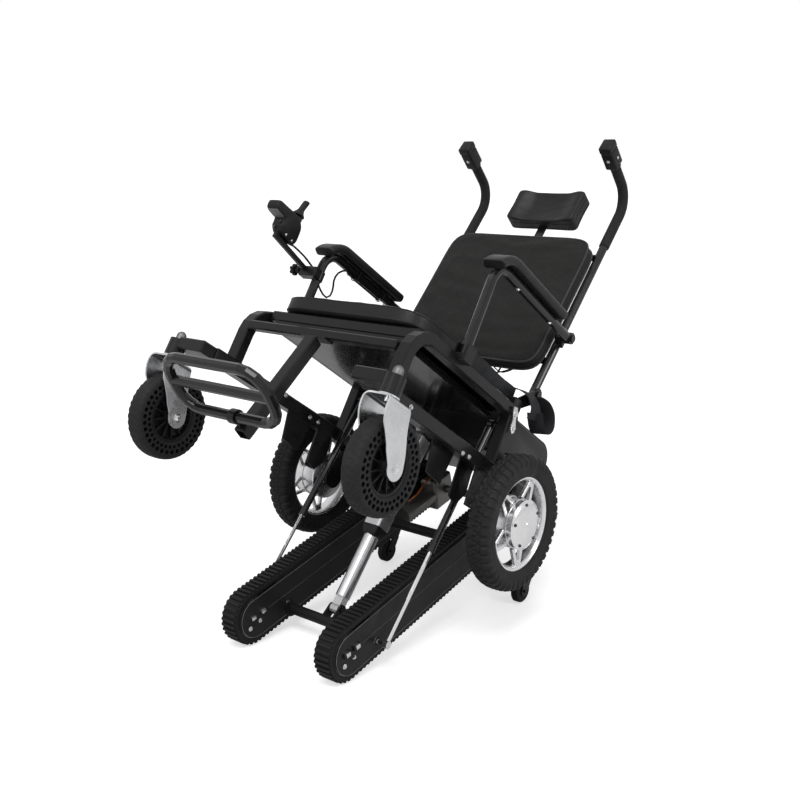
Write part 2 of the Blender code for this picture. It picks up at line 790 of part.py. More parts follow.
def footrest(chair):
    """A bent tube loop with a middle bar, turning on its own rear bar."""
    hinge = empty("footrest_hinge", chair, place(FOOT_HINGE_FORWARD, FOOT_HINGE_Z), -FOOT_TILT)
    half = FOOT_WIDTH / 2
    right = -half - FOOT_ASIDE
    left = half - FOOT_ASIDE
    corners = [place(0.0, 0.0, right), place(FOOT_DEPTH, 0.0, right),
               place(FOOT_DEPTH, 0.0, left), place(0.0, 0.0, left)]
    path = rounded(corners, FOOT_CORNER, 4, closed=True)
    section = round_section(FOOT_TUBE_RADIUS, 10)
    loop = add("footrest_loop", swept(path, section, (0, 0, 1), closed=True), "black_paint", hinge)
    weld(loop, rod(place(FOOT_MIDDLE_BAR, 0.0, right), place(FOOT_MIDDLE_BAR, 0.0, left),
                   FOOT_TUBE_RADIUS - GAP, 10))
    return loop


def caster_arm(side, word, chair):
    """Box tube ahead of the side frame that ends in the caster's barrel."""
    start = side * (FRAME_X - FRAME_WIDTH / 2 + TUBE_CHAMFER)
    end = side * (CASTER_X - CAP_RADIUS - OVERLAP)
    box = block((abs(end - start), ARM_DEPTH, ARM_HEIGHT),
                place(LOWER_TUBE_FRONT + GAP + ARM_DEPTH / 2, LOWER_TUBE_Z, (start + end) / 2),
                bevel=TUBE_CHAMFER)
    arm = add("caster_arm_" + word, box, "black_paint", chair)
    weld(arm, rod(place(CASTER_STEM_FORWARD, BARREL_BOTTOM, side * CASTER_X),
                  place(CASTER_STEM_FORWARD, BARREL_TOP, side * CASTER_X), BARREL_RADIUS, 24))
    cut(arm, rod(place(CASTER_STEM_FORWARD, BARREL_BOTTOM - OVERLAP, side * CASTER_X),
                 place(CASTER_STEM_FORWARD, BARREL_TOP + OVERLAP, side * CASTER_X),
                 STEM_RADIUS + RUNNING, 16))
    return arm


def caster(side, word, chair):
    """Swivelling fork with its stem and cap, and the wheel that trails behind the stem."""
    swivel = empty("caster_swivel_" + word, chair, place(CASTER_STEM_FORWARD, 0.0, side * CASTER_X))
    crown_top = BARREL_BOTTOM - GAP
    crown_bottom = crown_top - FORK_CROWN
    crown = prism([(-0.040, crown_bottom), (-0.036, crown_top), (0.026, crown_top),
                   (0.034, crown_bottom)], -FORK_HALF_WIDTH - FORK_PLATE / 2 + GAP,
                  FORK_HALF_WIDTH + FORK_PLATE / 2 - GAP)
    fork = add("caster_fork_" + word, crown, "zinc", swivel)
    outline = [(0.026, crown_top - OVERLAP), (0.034, 0.200), (0.033, 0.182), (0.024, 0.160),
               (-0.004, 0.128)]
    outline += arc((-CASTER_TRAIL, CASTER_RADIUS), FORK_FOOT_RADIUS, -40, -200, 8)
    outline += [(-0.045, 0.180), (-0.036, crown_top - OVERLAP)]
    legs = []
    for way in (-1, 1):
        middle = way * FORK_HALF_WIDTH
        legs.append(prism(outline, middle - FORK_PLATE / 2, middle + FORK_PLATE / 2))
    weld(fork, merged(*legs))
    reach = FORK_HALF_WIDTH + FORK_PLATE / 2 + CASTER_NUT
    weld(fork, rod(place(-CASTER_TRAIL, CASTER_RADIUS, -reach),
                   place(-CASTER_TRAIL, CASTER_RADIUS, reach), CASTER_AXLE_RADIUS, 12))
    nuts = []
    for way in (-1, 1):
        nuts.append(rod(place(-CASTER_TRAIL, CASTER_RADIUS, way * (FORK_HALF_WIDTH)),
                        place(-CASTER_TRAIL, CASTER_RADIUS, way * (reach - OVERLAP)),
                        CASTER_NUT_RADIUS, 6))
    weld(fork, merged(*nuts))
    cap_bottom = BARREL_TOP + GAP
    weld(fork, rod(place(0.0, crown_bottom + OVERLAP), place(0.0, cap_bottom + CAP_HEIGHT / 2),
                   STEM_RADIUS, 12))
    nut_height = CAP_HEIGHT * 0.55
    dome = turned([(0.0, 0.0), (0.0, CAP_RADIUS), (nut_height, CAP_RADIUS),
                   (CAP_HEIGHT * 0.85, CAP_RADIUS * 0.7), (CAP_HEIGHT, 0.0)], 16, closed=False)
    upright = Matrix.Rotation(-math.tau / 4, 4, "Y")
    weld(fork, moved(dome, place(0.0, cap_bottom), upright))
    spin = empty("caster_spin_" + word, swivel, place(-CASTER_TRAIL, CASTER_RADIUS))
    half = CASTER_TYRE_WIDTH / 2
    seat = CASTER_RIM_RADIUS + GAP
    tyre = [(-half, seat), (-half, CASTER_RADIUS - 0.009), (-half * 0.6, CASTER_RADIUS),
            (half * 0.6, CASTER_RADIUS), (half, CASTER_RADIUS - 0.009), (half, seat)]
    add("caster_tyre_" + word, turned(tyre, CASTER_SIDES), "tyre_rubber", spin)
    rim_half = CASTER_RIM_WIDTH / 2
    hub_half = FORK_HALF_WIDTH - FORK_PLATE / 2 - RUNNING
    bore = CASTER_AXLE_RADIUS + RUNNING
    rim = [(-rim_half, CASTER_RIM_RADIUS), (rim_half, CASTER_RIM_RADIUS),
           (rim_half, CASTER_RIM_RADIUS - 0.006), (0.006, CASTER_RIM_RADIUS - 0.010),
           (0.006, 0.018), (hub_half, 0.012), (hub_half, bore),
           (-hub_half, bore), (-hub_half, 0.012), (-0.006, 0.018),
           (-0.006, CASTER_RIM_RADIUS - 0.010), (-rim_half, CASTER_RIM_RADIUS - 0.006)]
    add("caster_rim_" + word, turned(rim, CASTER_SIDES), "black_plastic", spin)
    return fork


def rear_wheel(side, word, chair):
    """Tyre and spoked rim with the hub motor inside, on the fixed axle."""
    spin = empty("rear_spin_" + word, chair, place(0.0, REAR_RADIUS, side * REAR_WHEEL_X))
    half = REAR_TYRE_WIDTH / 2
    seat = REAR_RIM_RADIUS + GAP
    tyre = [(-half + 0.006, seat), (-half, REAR_RADIUS - 0.024),
            (-half + 0.006, REAR_RADIUS - 0.007), (-half * 0.5, REAR_RADIUS),
            (half * 0.5, REAR_RADIUS), (half - 0.006, REAR_RADIUS - 0.007),
            (half, REAR_RADIUS - 0.024), (half - 0.006, seat)]
    add("rear_tyre_" + word, turned(tyre, REAR_SIDES), "tyre_rubber", spin)
    lip = REAR_RIM_WIDTH / 2
    barrel = turned([(-lip, REAR_RIM_RADIUS), (lip, REAR_RIM_RADIUS), (lip, REAR_RIM_RADIUS - 0.005),
                     (lip - 0.008, REAR_RIM_RADIUS - 0.011), (-lip + 0.008, REAR_RIM_RADIUS - 0.011),
                     (-lip, REAR_RIM_RADIUS - 0.005)], REAR_SIDES)
    face = SPOKE_FACE
    hub = [(-HUB_MOTOR_DEPTH, 0.0), (-HUB_MOTOR_DEPTH, HUB_MOTOR_RADIUS - 0.004),
           (-HUB_MOTOR_DEPTH + 0.004, HUB_MOTOR_RADIUS), (-0.014, HUB_MOTOR_RADIUS),
           (-0.010, HUB_RADIUS), (HUB_FACE, HUB_RADIUS),
           (HUB_FACE + HUB_DOME_DEPTH * 0.5, HUB_RADIUS * 0.88),
           (HUB_FACE + HUB_DOME_DEPTH * 0.9, HUB_RADIUS * 0.6), (HUB_FACE + HUB_DOME_DEPTH, 0.0)]
    hub = [(side * along, radius) for along, radius in hub]
    rim = add("rear_rim_" + word, merged(barrel, turned(hub, 20, closed=False)), "alloy", spin)
    inner = HUB_RADIUS - 0.006
    outer = REAR_RIM_RADIUS - 0.009
    spokes = []
    for number in range(REAR_SPOKES):
        turn = math.tau * (number + 0.25) / REAR_SPOKES
        along = Vector((0.0, math.cos(turn), math.sin(turn)))
        across = Vector((0.0, -math.sin(turn), math.cos(turn)))
        for way in (-1, 1):
            centre = along * (inner + outer) / 2 + across * way * SPOKE_SPACING
            centre.x = side * (face - SPOKE_THICKNESS / 2 - 0.001)
            spokes.append(block((SPOKE_THICKNESS, outer - inner, SPOKE_WIDTH), centre, pitch=turn))
    weld(rim, merged(*spokes))
    cut(rim, rod((-side * (HUB_MOTOR_DEPTH + OVERLAP), 0.0, 0.0),
                 (side * (AXLE_REACH + OVERLAP), 0.0, 0.0), AXLE_RADIUS + RUNNING, 16))
    return rim


def axle_plate(frame, side):
    """The plate welded over the lower tube for the rear wheel, with its fixed axle."""
    inner = FRAME_X + FRAME_WIDTH / 2 - OVERLAP
    outer = FRAME_X + FRAME_WIDTH / 2 + AXLE_PLATE_THICKNESS
    outline = arc((0.0, REAR_RADIUS), AXLE_PLATE_RADIUS, 180, 360, 8)
    top = LOWER_TUBE_Z + LOWER_TUBE_HEIGHT / 2 - OVERLAP
    outline += [(AXLE_PLATE_TOP_HALF, top), (-AXLE_PLATE_TOP_HALF, top)]
    weld(frame, prism(outline, side * inner, side * outer))
    weld(frame, rod(place(0.0, REAR_RADIUS, side * (inner + GAP)),
                    place(0.0, REAR_RADIUS, side * (REAR_WHEEL_X + AXLE_REACH)), AXLE_RADIUS, 16))


def battery_box(chair):
    """The moulded battery case on its tray behind the seat."""
    front = -BATTERY_FRONT_BACK
    rear = -BATTERY_REAR_BACK
    radius = BATTERY_CORNER
    outline = [(front, BATTERY_BOTTOM), (front, BATTERY_TOP)]
    outline += arc((rear + radius, BATTERY_TOP - radius), radius, 90, 180, 6)
    outline += [(rear, BATTERY_BOTTOM)]
    shape = prism(outline, -BATTERY_WIDTH / 2, BATTERY_WIDTH / 2)
    return add("battery_box", shape, "black_plastic", chair)


def seat_base(chair):
    """The flat glossy panel under the seat, hung below the seat bar and the rear bar."""
    top = SEAT_BAR_Z - BAR_SIZE / 2 - GAP
    depth = SEAT_BASE_FRONT - SEAT_BASE_REAR
    middle = place((SEAT_BASE_FRONT + SEAT_BASE_REAR) / 2, (top + SEAT_BASE_BOTTOM) / 2)
    shape = block((SEAT_BASE_WIDTH, depth, top - SEAT_BASE_BOTTOM), middle, bevel=TUBE_CHAMFER)
    return add("seat_base", shape, "black_plastic", chair)


def roller_arm(frame, side):
    """The arm below the rear end of a lower tube, forked round its steadying roller."""
    top = LOWER_TUBE_Z - LOWER_TUBE_HEIGHT / 2 + OVERLAP
    bottom = ROLLER_Z + ROLLER_RADIUS + ROLLER_CLEARANCE
    x = side * ROLLER_X
    weld(frame, block((ROLLER_ARM, ROLLER_ARM, top - bottom),
                      place(-ROLLER_BACK, (top + bottom) / 2, x), bevel=TUBE_CHAMFER / 2))
    gap = ROLLER_WIDTH / 2 + RUNNING
    outline = arc((-ROLLER_BACK, ROLLER_Z), ROLLER_CHEEK_RADIUS, 180, 360, 6)
    outline += [(-ROLLER_BACK + ROLLER_CHEEK_RADIUS, bottom + ROLLER_ARM / 2),
                (-ROLLER_BACK - ROLLER_CHEEK_RADIUS, bottom + ROLLER_ARM / 2)]
    weld(frame, merged(prism(outline, x + gap, x + gap + ROLLER_FORK),
                       prism(outline, x - gap - ROLLER_FORK, x - gap)))
    reach = gap + ROLLER_FORK + PIN_HEAD
    weld(frame, rod(place(-ROLLER_BACK, ROLLER_Z, x - reach),
                    place(-ROLLER_BACK, ROLLER_Z, x + reach), ROLLER_PIN_RADIUS, 12))


def rollers(chair):
    for side, word in SIDES:
        spin = empty("roller_spin_" + word, chair, place(-ROLLER_BACK, ROLLER_Z, side * ROLLER_X))
        half = ROLLER_WIDTH / 2
        bore = ROLLER_PIN_RADIUS + RUNNING
        ring = [(-half, bore), (-half, ROLLER_RADIUS - 0.003), (-half + 0.003, ROLLER_RADIUS),
                (half - 0.003, ROLLER_RADIUS), (half, ROLLER_RADIUS - 0.003), (half, bore)]
        add("roller_" + word, turned(ring, 20), "tyre_rubber", spin)


def hanging_plates(side):
    """Plates welded below a lower tube for the wiring and the track's limit switches."""
    top = LOWER_TUBE_Z - LOWER_TUBE_HEIGHT / 2 + OVERLAP
    inner = FRAME_X - FRAME_WIDTH / 2 + BRACKET_INSET
    outer = FRAME_X + FRAME_WIDTH / 2 - BRACKET_INSET
    front = [(0.190, top), (0.280, top), (0.262, 0.166), (0.200, 0.160)]
    rear = [(0.100, top), (0.160, top), (0.152, 0.150), (0.118, 0.140), (0.092, 0.176)]
    beside = [(0.085, top), (0.130, top), (0.124, 0.145), (0.096, 0.145)]
    return merged(prism(front, side * inner, side * (inner + BRACKET_PLATE)),
                  prism(rear, side * inner, side * (inner + BRACKET_PLATE)),
                  prism(beside, side * (outer - BRACKET_PLATE), side * outer))


def stadium(radius, length, steps=16, grow=0.0):
    """Outline round both drums of a track, in (ahead, height) from its pivot."""
    reach = radius + grow
    points = arc((0.0, 0.0), reach, 90, 270, steps)
    points += arc((length, 0.0), reach, -90, 90, steps)
    return points


def along_stadium(distance, radius, length):
    """Point and outward direction at a distance along the belt's path."""
    half_turn = math.pi * radius
    around = distance % (2 * length + 2 * half_turn)
    if around < length:
        return (around, -radius), (0.0, -1.0)
    around -= length
    if around < half_turn:
        angle = around / radius - math.pi / 2
        out = (math.cos(angle), math.sin(angle))
        return (length + radius * out[0], radius * out[1]), out
    around -= half_turn
    if around < length:
        return (length - around, radius), (0.0, 1.0)
    angle = (around - length) / radius + math.pi / 2
    out = (math.cos(angle), math.sin(angle))
    return (radius * out[0], radius * out[1]), out


def belt_shape(x):
    """One endless rubber belt with its cleats, extruded across the track."""
    base = TRACK_RADIUS - CLEAT_HEIGHT
    round_trip = 2 * TRACK_LENGTH + math.tau * base
    cleats = round(round_trip / CLEAT_PITCH)
    pitch = round_trip / cleats
    outside = []
    for number in range(cleats):
        for share, lift in ((0.0, 0.0), (0.15, CLEAT_HEIGHT), (0.60, CLEAT_HEIGHT)):
            point, out = along_stadium((number + share) * pitch, base, TRACK_LENGTH)
            outside.append((point[0] + lift * out[0], point[1] + lift * out[1]))
    inside = stadium(base - BELT_THICKNESS, TRACK_LENGTH, 10)
    shape = bmesh.new()
    low = x - TRACK_WIDTH / 2
    edges = []
    for outline in (outside, inside):
        ring = [shape.verts.new((low, -ahead, height)) for ahead, height in outline]
        for index, vert in enumerate(ring):
            edges.append(shape.edges.new((vert, ring[(index + 1) % len(ring)])))
    bmesh.ops.triangle_fill(shape, use_beauty=True, edges=edges)
    far = bmesh.ops.extrude_face_region(shape, geom=shape.faces[:])
    verts = [item for item in far["geom"] if isinstance(item, bmesh.types.BMVert)]
    bmesh.ops.translate(shape, verts=verts, vec=(TRACK_WIDTH, 0.0, 0.0))
    return shape


def track_unit(chair):
    """Both tracks on one shaft, lowered to the floor, with what drives and spans them."""
    pivot = empty("track_pivot", chair, place(-TRACK_PIVOT_BACK, TRACK_PIVOT_Z), TRACK_LOWERED)
    for side, word in SIDES:
        add("track_belt_" + word, belt_shape(side * TRACK_X), "belt_rubber", pivot)
        track_frame(side, word, pivot)
        idler(side, word, pivot)
    cross_tubes(pivot)
    motor(pivot)
    drive_shaft(pivot)
    return pivot


def track_frame(side, word, pivot):
    """Side plates and the core between them, with the idler's pin and the strut's stud."""
    plate_radius = TRACK_RADIUS - PLATE_INSET
    inner = TRACK_X - TRACK_WIDTH / 2 - GAP
    outer = TRACK_X + TRACK_WIDTH / 2 + GAP
    outline = stadium(plate_radius, TRACK_LENGTH, 8)
    frame = add("track_frame_" + word, prism(outline, side * outer, side * (outer + TRACK_PLATE)),
                "black_paint", pivot)
    weld(frame, prism(outline, side * (inner - TRACK_PLATE), side * inner))
    core_start = TRACK_RADIUS + CORE_CLEARANCE
    core_end = TRACK_LENGTH - TRACK_RADIUS - CORE_CLEARANCE
    core_middle = (core_start + core_end) / 2
    width = outer - inner + TRACK_PLATE
    core_half = TRACK_RADIUS - CLEAT_HEIGHT - BELT_THICKNESS - GAP
    weld(frame, block((width, core_end - core_start, 2 * core_half),
                      place(core_middle, 0.0, side * (inner + outer) / 2)))
    weld(frame, rod(place(TRACK_LENGTH, 0.0, side * (inner - TRACK_PLATE / 2)),
                    place(TRACK_LENGTH, 0.0, side * (outer + TRACK_PLATE + PIN_HEAD)),
                    IDLER_PIN_RADIUS, 14))
    weld(frame, rod(place(STRUT_FOOT_AHEAD, -STRUT_FOOT_DROP, side * outer),
                    place(STRUT_FOOT_AHEAD, -STRUT_FOOT_DROP,
                          side * (STRUT_X - STRUT_EYE_HALF - RUNNING)), STRUT_PIN_RADIUS, 12))
    blocks = []
    x = side * (outer + TRACK_PLATE + TENSIONER_DEPTH / 2 - GAP)
    for ahead in (TENSIONER_AHEAD, TENSIONER_AHEAD + TENSIONER_PITCH):
        blocks.append(block((TENSIONER_DEPTH, TENSIONER_LENGTH, TENSIONER_HEIGHT),
                            place(ahead, TENSIONER_RISE, x), bevel=0.001))
    weld(frame, merged(*blocks))
    cut(frame, rod(place(0.0, 0.0, side * (inner - 2 * TRACK_PLATE)),
                   place(0.0, 0.0, side * (outer + 2 * TRACK_PLATE)), SHAFT_RADIUS + RUNNING, 20))
    return frame


def cross_tubes(pivot):
    """Two tubes between the tracks, the front one with the actuator's clevis."""
    inside = TRACK_X - TRACK_WIDTH / 2 - TRACK_PLATE - 2 * GAP
    reach = Vector((inside, 0.0, 0.0))
    rear = place(REAR_CROSS_AHEAD, 0.0)
    add("rear_cross_tube", rod(rear - reach, rear + reach, TRACK_CROSS_RADIUS, 18),
        "black_paint", pivot)
    front = place(FRONT_CROSS_AHEAD, -FRONT_CROSS_DROP)
    tube = add("front_cross_tube", rod(front - reach, front + reach, TRACK_CROSS_RADIUS, 18),
               "black_paint", pivot)
    eye = (EYE_AHEAD, -EYE_DROP)
    slope = math.atan2(EYE_DROP - FRONT_CROSS_DROP, FRONT_CROSS_AHEAD - EYE_AHEAD)
    half_turn = math.degrees(slope) + 90
    outline = arc(eye, CLEVIS_RADIUS, half_turn, half_turn + 180, 8)
    for way in (1, -1):
        across = way * (CLEVIS_RADIUS - OVERLAP)
        outline.append((FRONT_CROSS_AHEAD + across * math.sin(slope),
                        -FRONT_CROSS_DROP - across * math.cos(slope)))
    cheeks = []
    heads = []
    for side in (-1, 1):
        near = side * (EYE_HALF + RUNNING)
        far = near + side * CLEVIS_PLATE
        cheeks.append(prism(outline, near, far))
        heads.append(rod(place(eye[0], eye[1], far - side * OVERLAP),
                         place(eye[0], eye[1], far + side * PIN_HEAD), EYE_PIN_RADIUS, 8))
    weld(tube, merged(*cheeks))
    weld(tube, merged(*heads))
    return tube


def motor(pivot):
    """The gearbox on the drive shaft beside the right track, with its motor ahead of it."""
    outer = TRACK_X - TRACK_WIDTH / 2 - TRACK_PLATE - 2 * GAP
    middle = -(outer - GEARBOX_WIDTH / 2)
    unit = add("track_motor", block((GEARBOX_WIDTH, GEARBOX_DEPTH, GEARBOX_HEIGHT),
                                    place(GEARBOX_AHEAD, 0.0, middle), bevel=0.006),
               "grey_metal", pivot)
    weld(unit, rod(place(GEARBOX_AHEAD, 0.0, middle), place(MOTOR_END_AHEAD, 0.0, middle),
                   MOTOR_RADIUS, 20))
    cut(unit, rod((-outer - OVERLAP, 0.0, 0.0), (0.0, 0.0, 0.0), SHAFT_RADIUS + RUNNING, 20))
    return unit


def drum_radius():
    return TRACK_RADIUS - CLEAT_HEIGHT - BELT_THICKNESS - DRUM_CLEARANCE


def drive_shaft(pivot):
    """The shaft through the side frames that the tracks swing on, with both drive drums."""
    spin = empty("drive_shaft_spin", pivot, (0.0, 0.0, 0.0))
    end = FRAME_X + FRAME_WIDTH / 2 + SHAFT_PROUD
    shaft = add("drive_shaft", rod((-end, 0.0, 0.0), (end, 0.0, 0.0), SHAFT_RADIUS, 20),
                "grey_metal", spin)
    half = TRACK_WIDTH / 2 - GAP
    both = []
    for side in (-1, 1):
        x = side * TRACK_X
        both.append(rod((x - half, 0.0, 0.0), (x + half, 0.0, 0.0), drum_radius(), 20))
    weld(shaft, merged(*both))
    return shaft


def idler(side, word, pivot):
    spin = empty("idler_spin_" + word, pivot, place(TRACK_LENGTH, 0.0, side * TRACK_X))
    half = TRACK_WIDTH / 2 - GAP
    bore = IDLER_PIN_RADIUS + RUNNING
    ring = [(-half, bore), (-half, drum_radius()), (half, drum_radius()), (half, bore)]
    add("idler_drum_" + word, turned(ring, 20), "grey_metal", spin)


def link_empty(name, parent, top, foot):
    """An empty at the top of a link whose own down direction points at the foot."""
    forward = foot[0] - top[0]
    drop = foot[1] - top[1]
    return empty(name, parent, place(top[0], top[1]), math.atan2(-forward, -drop))


def foot_in_chair(ahead, drop):
    """A point of the lowered tracks in the level chair's (forward, height)."""
    forward, up = turn_of(ahead, -drop, TRACK_LOWERED)
    return forward - TRACK_PIVOT_BACK, up + TRACK_PIVOT_Z


def actuator(chair):
    """Square housing that swings on the hanger, and the rod that slides out of it."""
    top = (ACTUATOR_TOP_FORWARD, ACTUATOR_TOP_Z)
    foot = foot_in_chair(EYE_AHEAD, EYE_DROP)
    reach = math.dist(top, foot)
    swing = link_empty("actuator_swing", chair, top, foot)
    body_top = -EYE_RADIUS - HOUSING_TOP_GAP
    body = block((HOUSING_SIZE, HOUSING_SIZE, HOUSING_LENGTH + body_top),
                 (0.0, 0.0, (body_top - HOUSING_LENGTH) / 2), bevel=0.004)
    housing = add("actuator_housing", body, "anodised", swing)
    weld(housing, rod((-EYE_HALF, 0.0, 0.0), (EYE_HALF, 0.0, 0.0), EYE_RADIUS - GAP, 16))
    weld(housing, block((2 * EYE_HALF - GAP, EYE_RADIUS * 1.6, -body_top + OVERLAP),
                        (0.0, 0.0, (body_top - OVERLAP) / 2)))
    weld(housing, rod((0.0, 0.0, OVERLAP - HOUSING_LENGTH),
                      (0.0, 0.0, -HOUSING_LENGTH - COLLAR_LENGTH), COLLAR_RADIUS, 20))
    cut(housing, rod((0.0, 0.0, -HOUSING_SOLID), (0.0, 0.0, -HOUSING_LENGTH - 2 * COLLAR_LENGTH),
                     ROD_RADIUS + RUNNING, 20))
    cut(housing, rod((-HOUSING_SIZE, 0.0, 0.0), (HOUSING_SIZE, 0.0, 0.0),
                     EYE_PIN_RADIUS + RUNNING, 14))
    thick_end = -reach + EYE_NECK
    inner_end = -HOUSING_LENGTH + ROD_ENGAGED
    plunger = add("actuator_rod", rod((0.0, 0.0, inner_end), (0.0, 0.0, thick_end), ROD_RADIUS, 20),
                  "zinc", swing)
    weld(plunger, block((2 * EYE_HALF, EYE_RADIUS * 1.5, EYE_NECK + OVERLAP),
                        (0.0, 0.0, -reach + (EYE_NECK + OVERLAP) / 2)))
    weld(plunger, rod((-EYE_HALF + GAP, 0.0, -reach), (EYE_HALF - GAP, 0.0, -reach),
                      EYE_RADIUS - RUNNING, 16))
    return swing


def struts(chair):
    """Gas struts between the rear uprights and the outer faces of the tracks."""
    top = (STRUT_TOP_FORWARD, STRUT_TOP_Z)
    foot = foot_in_chair(STRUT_FOOT_AHEAD, STRUT_FOOT_DROP)
    reach = math.dist(top, foot)
    for side, word in SIDES:
        swing = link_empty("strut_swing_" + word, chair, top, foot)
        swing.location.x = side * STRUT_X
        cylinder = add("strut_cylinder_" + word,
                       rod((0.0, 0.0, -STRUT_EYE_RADIUS - OVERLAP), (0.0, 0.0, -STRUT_CYLINDER_LENGTH),
                           STRUT_CYLINDER_RADIUS, 16), "black_paint", swing)
        weld(cylinder, rod((-STRUT_EYE_HALF, 0.0, 0.0), (STRUT_EYE_HALF, 0.0, 0.0),
                           STRUT_EYE_RADIUS, 16))
        weld(cylinder, block((STRUT_EYE_HALF * 1.6, STRUT_EYE_RADIUS, 3 * OVERLAP),
                             (0.0, 0.0, -STRUT_EYE_RADIUS - OVERLAP / 2)))
        cut(cylinder, rod((0.0, 0.0, -STRUT_SOLID), (0.0, 0.0, -STRUT_CYLINDER_LENGTH - OVERLAP),
                          STRUT_ROD_RADIUS + RUNNING, 14))
        cut(cylinder, rod((-STRUT_EYE_HALF - OVERLAP, 0.0, 0.0), (STRUT_EYE_HALF + OVERLAP, 0.0, 0.0),
                          STRUT_PIN_RADIUS + RUNNING, 12))
        inner_end = -STRUT_CYLINDER_LENGTH + STRUT_ENGAGED
        shaft = add("strut_rod_" + word,
                    rod((0.0, 0.0, inner_end), (0.0, 0.0, -reach + STRUT_EYE_RADIUS / 2),
                        STRUT_ROD_RADIUS, 12), "zinc", swing)
        weld(shaft, rod((-STRUT_EYE_HALF, 0.0, -reach), (STRUT_EYE_HALF, 0.0, -reach),
                        STRUT_EYE_RADIUS, 16))


def seat_cushion(chair):
    top_of_rail = RAIL_Z + RAIL_THICKNESS / 2 + GAP
    depth = SEAT_FRONT - SEAT_BACK
    shape = pillow((SEAT_WIDTH, depth, CUSHION_THICKNESS), CUSHION_CROWN, CUSHION_DRAW)
    rest = min(vert.co.z for vert in shape.verts)
    middle = place((SEAT_FRONT + SEAT_BACK) / 2, top_of_rail - rest)
    return add("seat_cushion", moved(shape, middle), "leather", chair, crease=60.0)


def seat_belt(chair):
    """Lap belt webbing standing on edge between the cushion and the left rail."""
    bottom = RAIL_Z + RAIL_THICKNESS / 2 + GAP
    shape = block((BELT_WEBBING, BELT_FRONT - BELT_REAR, BELT_WIDTH),
                  place((BELT_FRONT + BELT_REAR) / 2, bottom + BELT_WIDTH / 2, BELT_X))
    return add("seat_belt", shape, "webbing", chair)


def backrest(chair):
    """Back tubes on their pivot pins, with bars, grips, cushion, headrest and armrests."""
    pivot = empty("backrest_pivot", chair, place(-BACK_PIVOT_BACK, BACK_PIVOT_Z), -BACK_LEAN)
    back_frame(pivot)
    push_grips(pivot)
    shape = pillow((BACK_CUSHION_WIDTH, BACK_CUSHION_TOP - BACK_CUSHION_BOTTOM,
                    BACK_CUSHION_THICKNESS), BACK_CUSHION_CROWN, CUSHION_DRAW,
                   power=BACK_CUSHION_SQUARE)
    rest = min(vert.co.z for vert in shape.verts)
    upright = Matrix.Rotation(math.tau / 4, 4, "X")
    middle = place(BACK_TUBE_RADIUS + GAP - rest, (BACK_CUSHION_TOP + BACK_CUSHION_BOTTOM) / 2)
    add("backrest_cushion", moved(shape, middle, upright), "cover_cloth", pivot, crease=60.0)
    headrest(pivot)
    for side, word in SIDES:
        armrest(side, word, pivot)
    return pivot


def back_frame(pivot):
    """Back tubes welded to two bars, with their pivot pins, armrest bolts and socket."""
    bars = []
    bar_ahead = BACK_TUBE_RADIUS - BACK_BAR_RADIUS
    for height in (BACK_BAR_LOW, BACK_BAR_HIGH):
        bars.append(rod(place(bar_ahead, height, -BACK_TUBE_X),
                        place(bar_ahead, height, BACK_TUBE_X), BACK_BAR_RADIUS, 12))
    frame = add("back_frame", merged(*bars), "black_paint", pivot)
    tubes = []
    for side in (-1, 1):
        x = side * BACK_TUBE_X
        tubes.append(rod(place(0.0, -BACK_TUBE_FOOT, x), place(0.0, BACK_TUBE_LENGTH, x),
                         BACK_TUBE_RADIUS, 16))
    weld(frame, merged(*tubes))
    ahead, up = arm_pivot_on_tube()
    plate_outer = BACK_TUBE_X + BACK_TUBE_RADIUS + 2 * GAP + HINGE_PLATE_THICKNESS
    lug_outer = ARM_X - ARM_TUBE_RADIUS - GAP
    bolt_end = ARM_X + ARM_TUBE_RADIUS + GAP
    lugs = []
    pins = []
    heads = []
    for side in (-1, 1):
        lugs.append(prism(lug_outline(), side * (BACK_TUBE_X + OVERLAP), side * lug_outer))
        pins.append(rod(place(0.0, 0.0, side * BACK_TUBE_X),
                        place(0.0, 0.0, side * (plate_outer + OVERLAP)), BACK_PIN_RADIUS, 14))
        pins.append(rod(place(ahead, up, side * (lug_outer - OVERLAP)),
                        place(ahead, up, side * (bolt_end + OVERLAP)), ARM_BOLT_RADIUS, 12))
        heads.append(rod(place(0.0, 0.0, side * plate_outer),
                         place(0.0, 0.0, side * (plate_outer + PIN_HEAD)), BACK_PIN_HEAD, 14))
        heads.append(rod(place(ahead, up, side * bolt_end),
                         place(ahead, up, side * (bolt_end + PIN_HEAD)), ARM_BOLT_HEAD, 12))
    weld(frame, merged(*lugs))
    weld(frame, merged(*pins))
    weld(frame, merged(*heads))
    socket_back = -STEM_BEHIND - STEM_THICKNESS / 2 - SOCKET_WALL
    weld(frame, block((SOCKET_BLOCK_WIDTH, bar_ahead - socket_back, SOCKET_BLOCK_HEIGHT),
                      place((bar_ahead + socket_back) / 2, BACK_BAR_HIGH), bevel=0.002))
    cut(frame, block((STEM_WIDTH + 2 * RUNNING, STEM_THICKNESS + 2 * RUNNING,
                      2 * SOCKET_BLOCK_HEIGHT), place(-STEM_BEHIND, BACK_BAR_HIGH)))
    return frame


def arm_pivot_on_tube():
    """The armrest's pivot as (ahead of, along) the leaning back tube."""
    forward = ARM_PIVOT_FORWARD + BACK_PIVOT_BACK
    height = ARM_PIVOT_Z - BACK_PIVOT_Z
    return turn_of(forward, height, BACK_LEAN)


def lug_outline():
    ahead, up = arm_pivot_on_tube()
    low = arc((ahead, up), LUG_RADIUS, -90, 90, 6)
    return low + [(0.0, up + LUG_RADIUS + LUG_SPREAD), (0.0, up - LUG_RADIUS - LUG_SPREAD)]


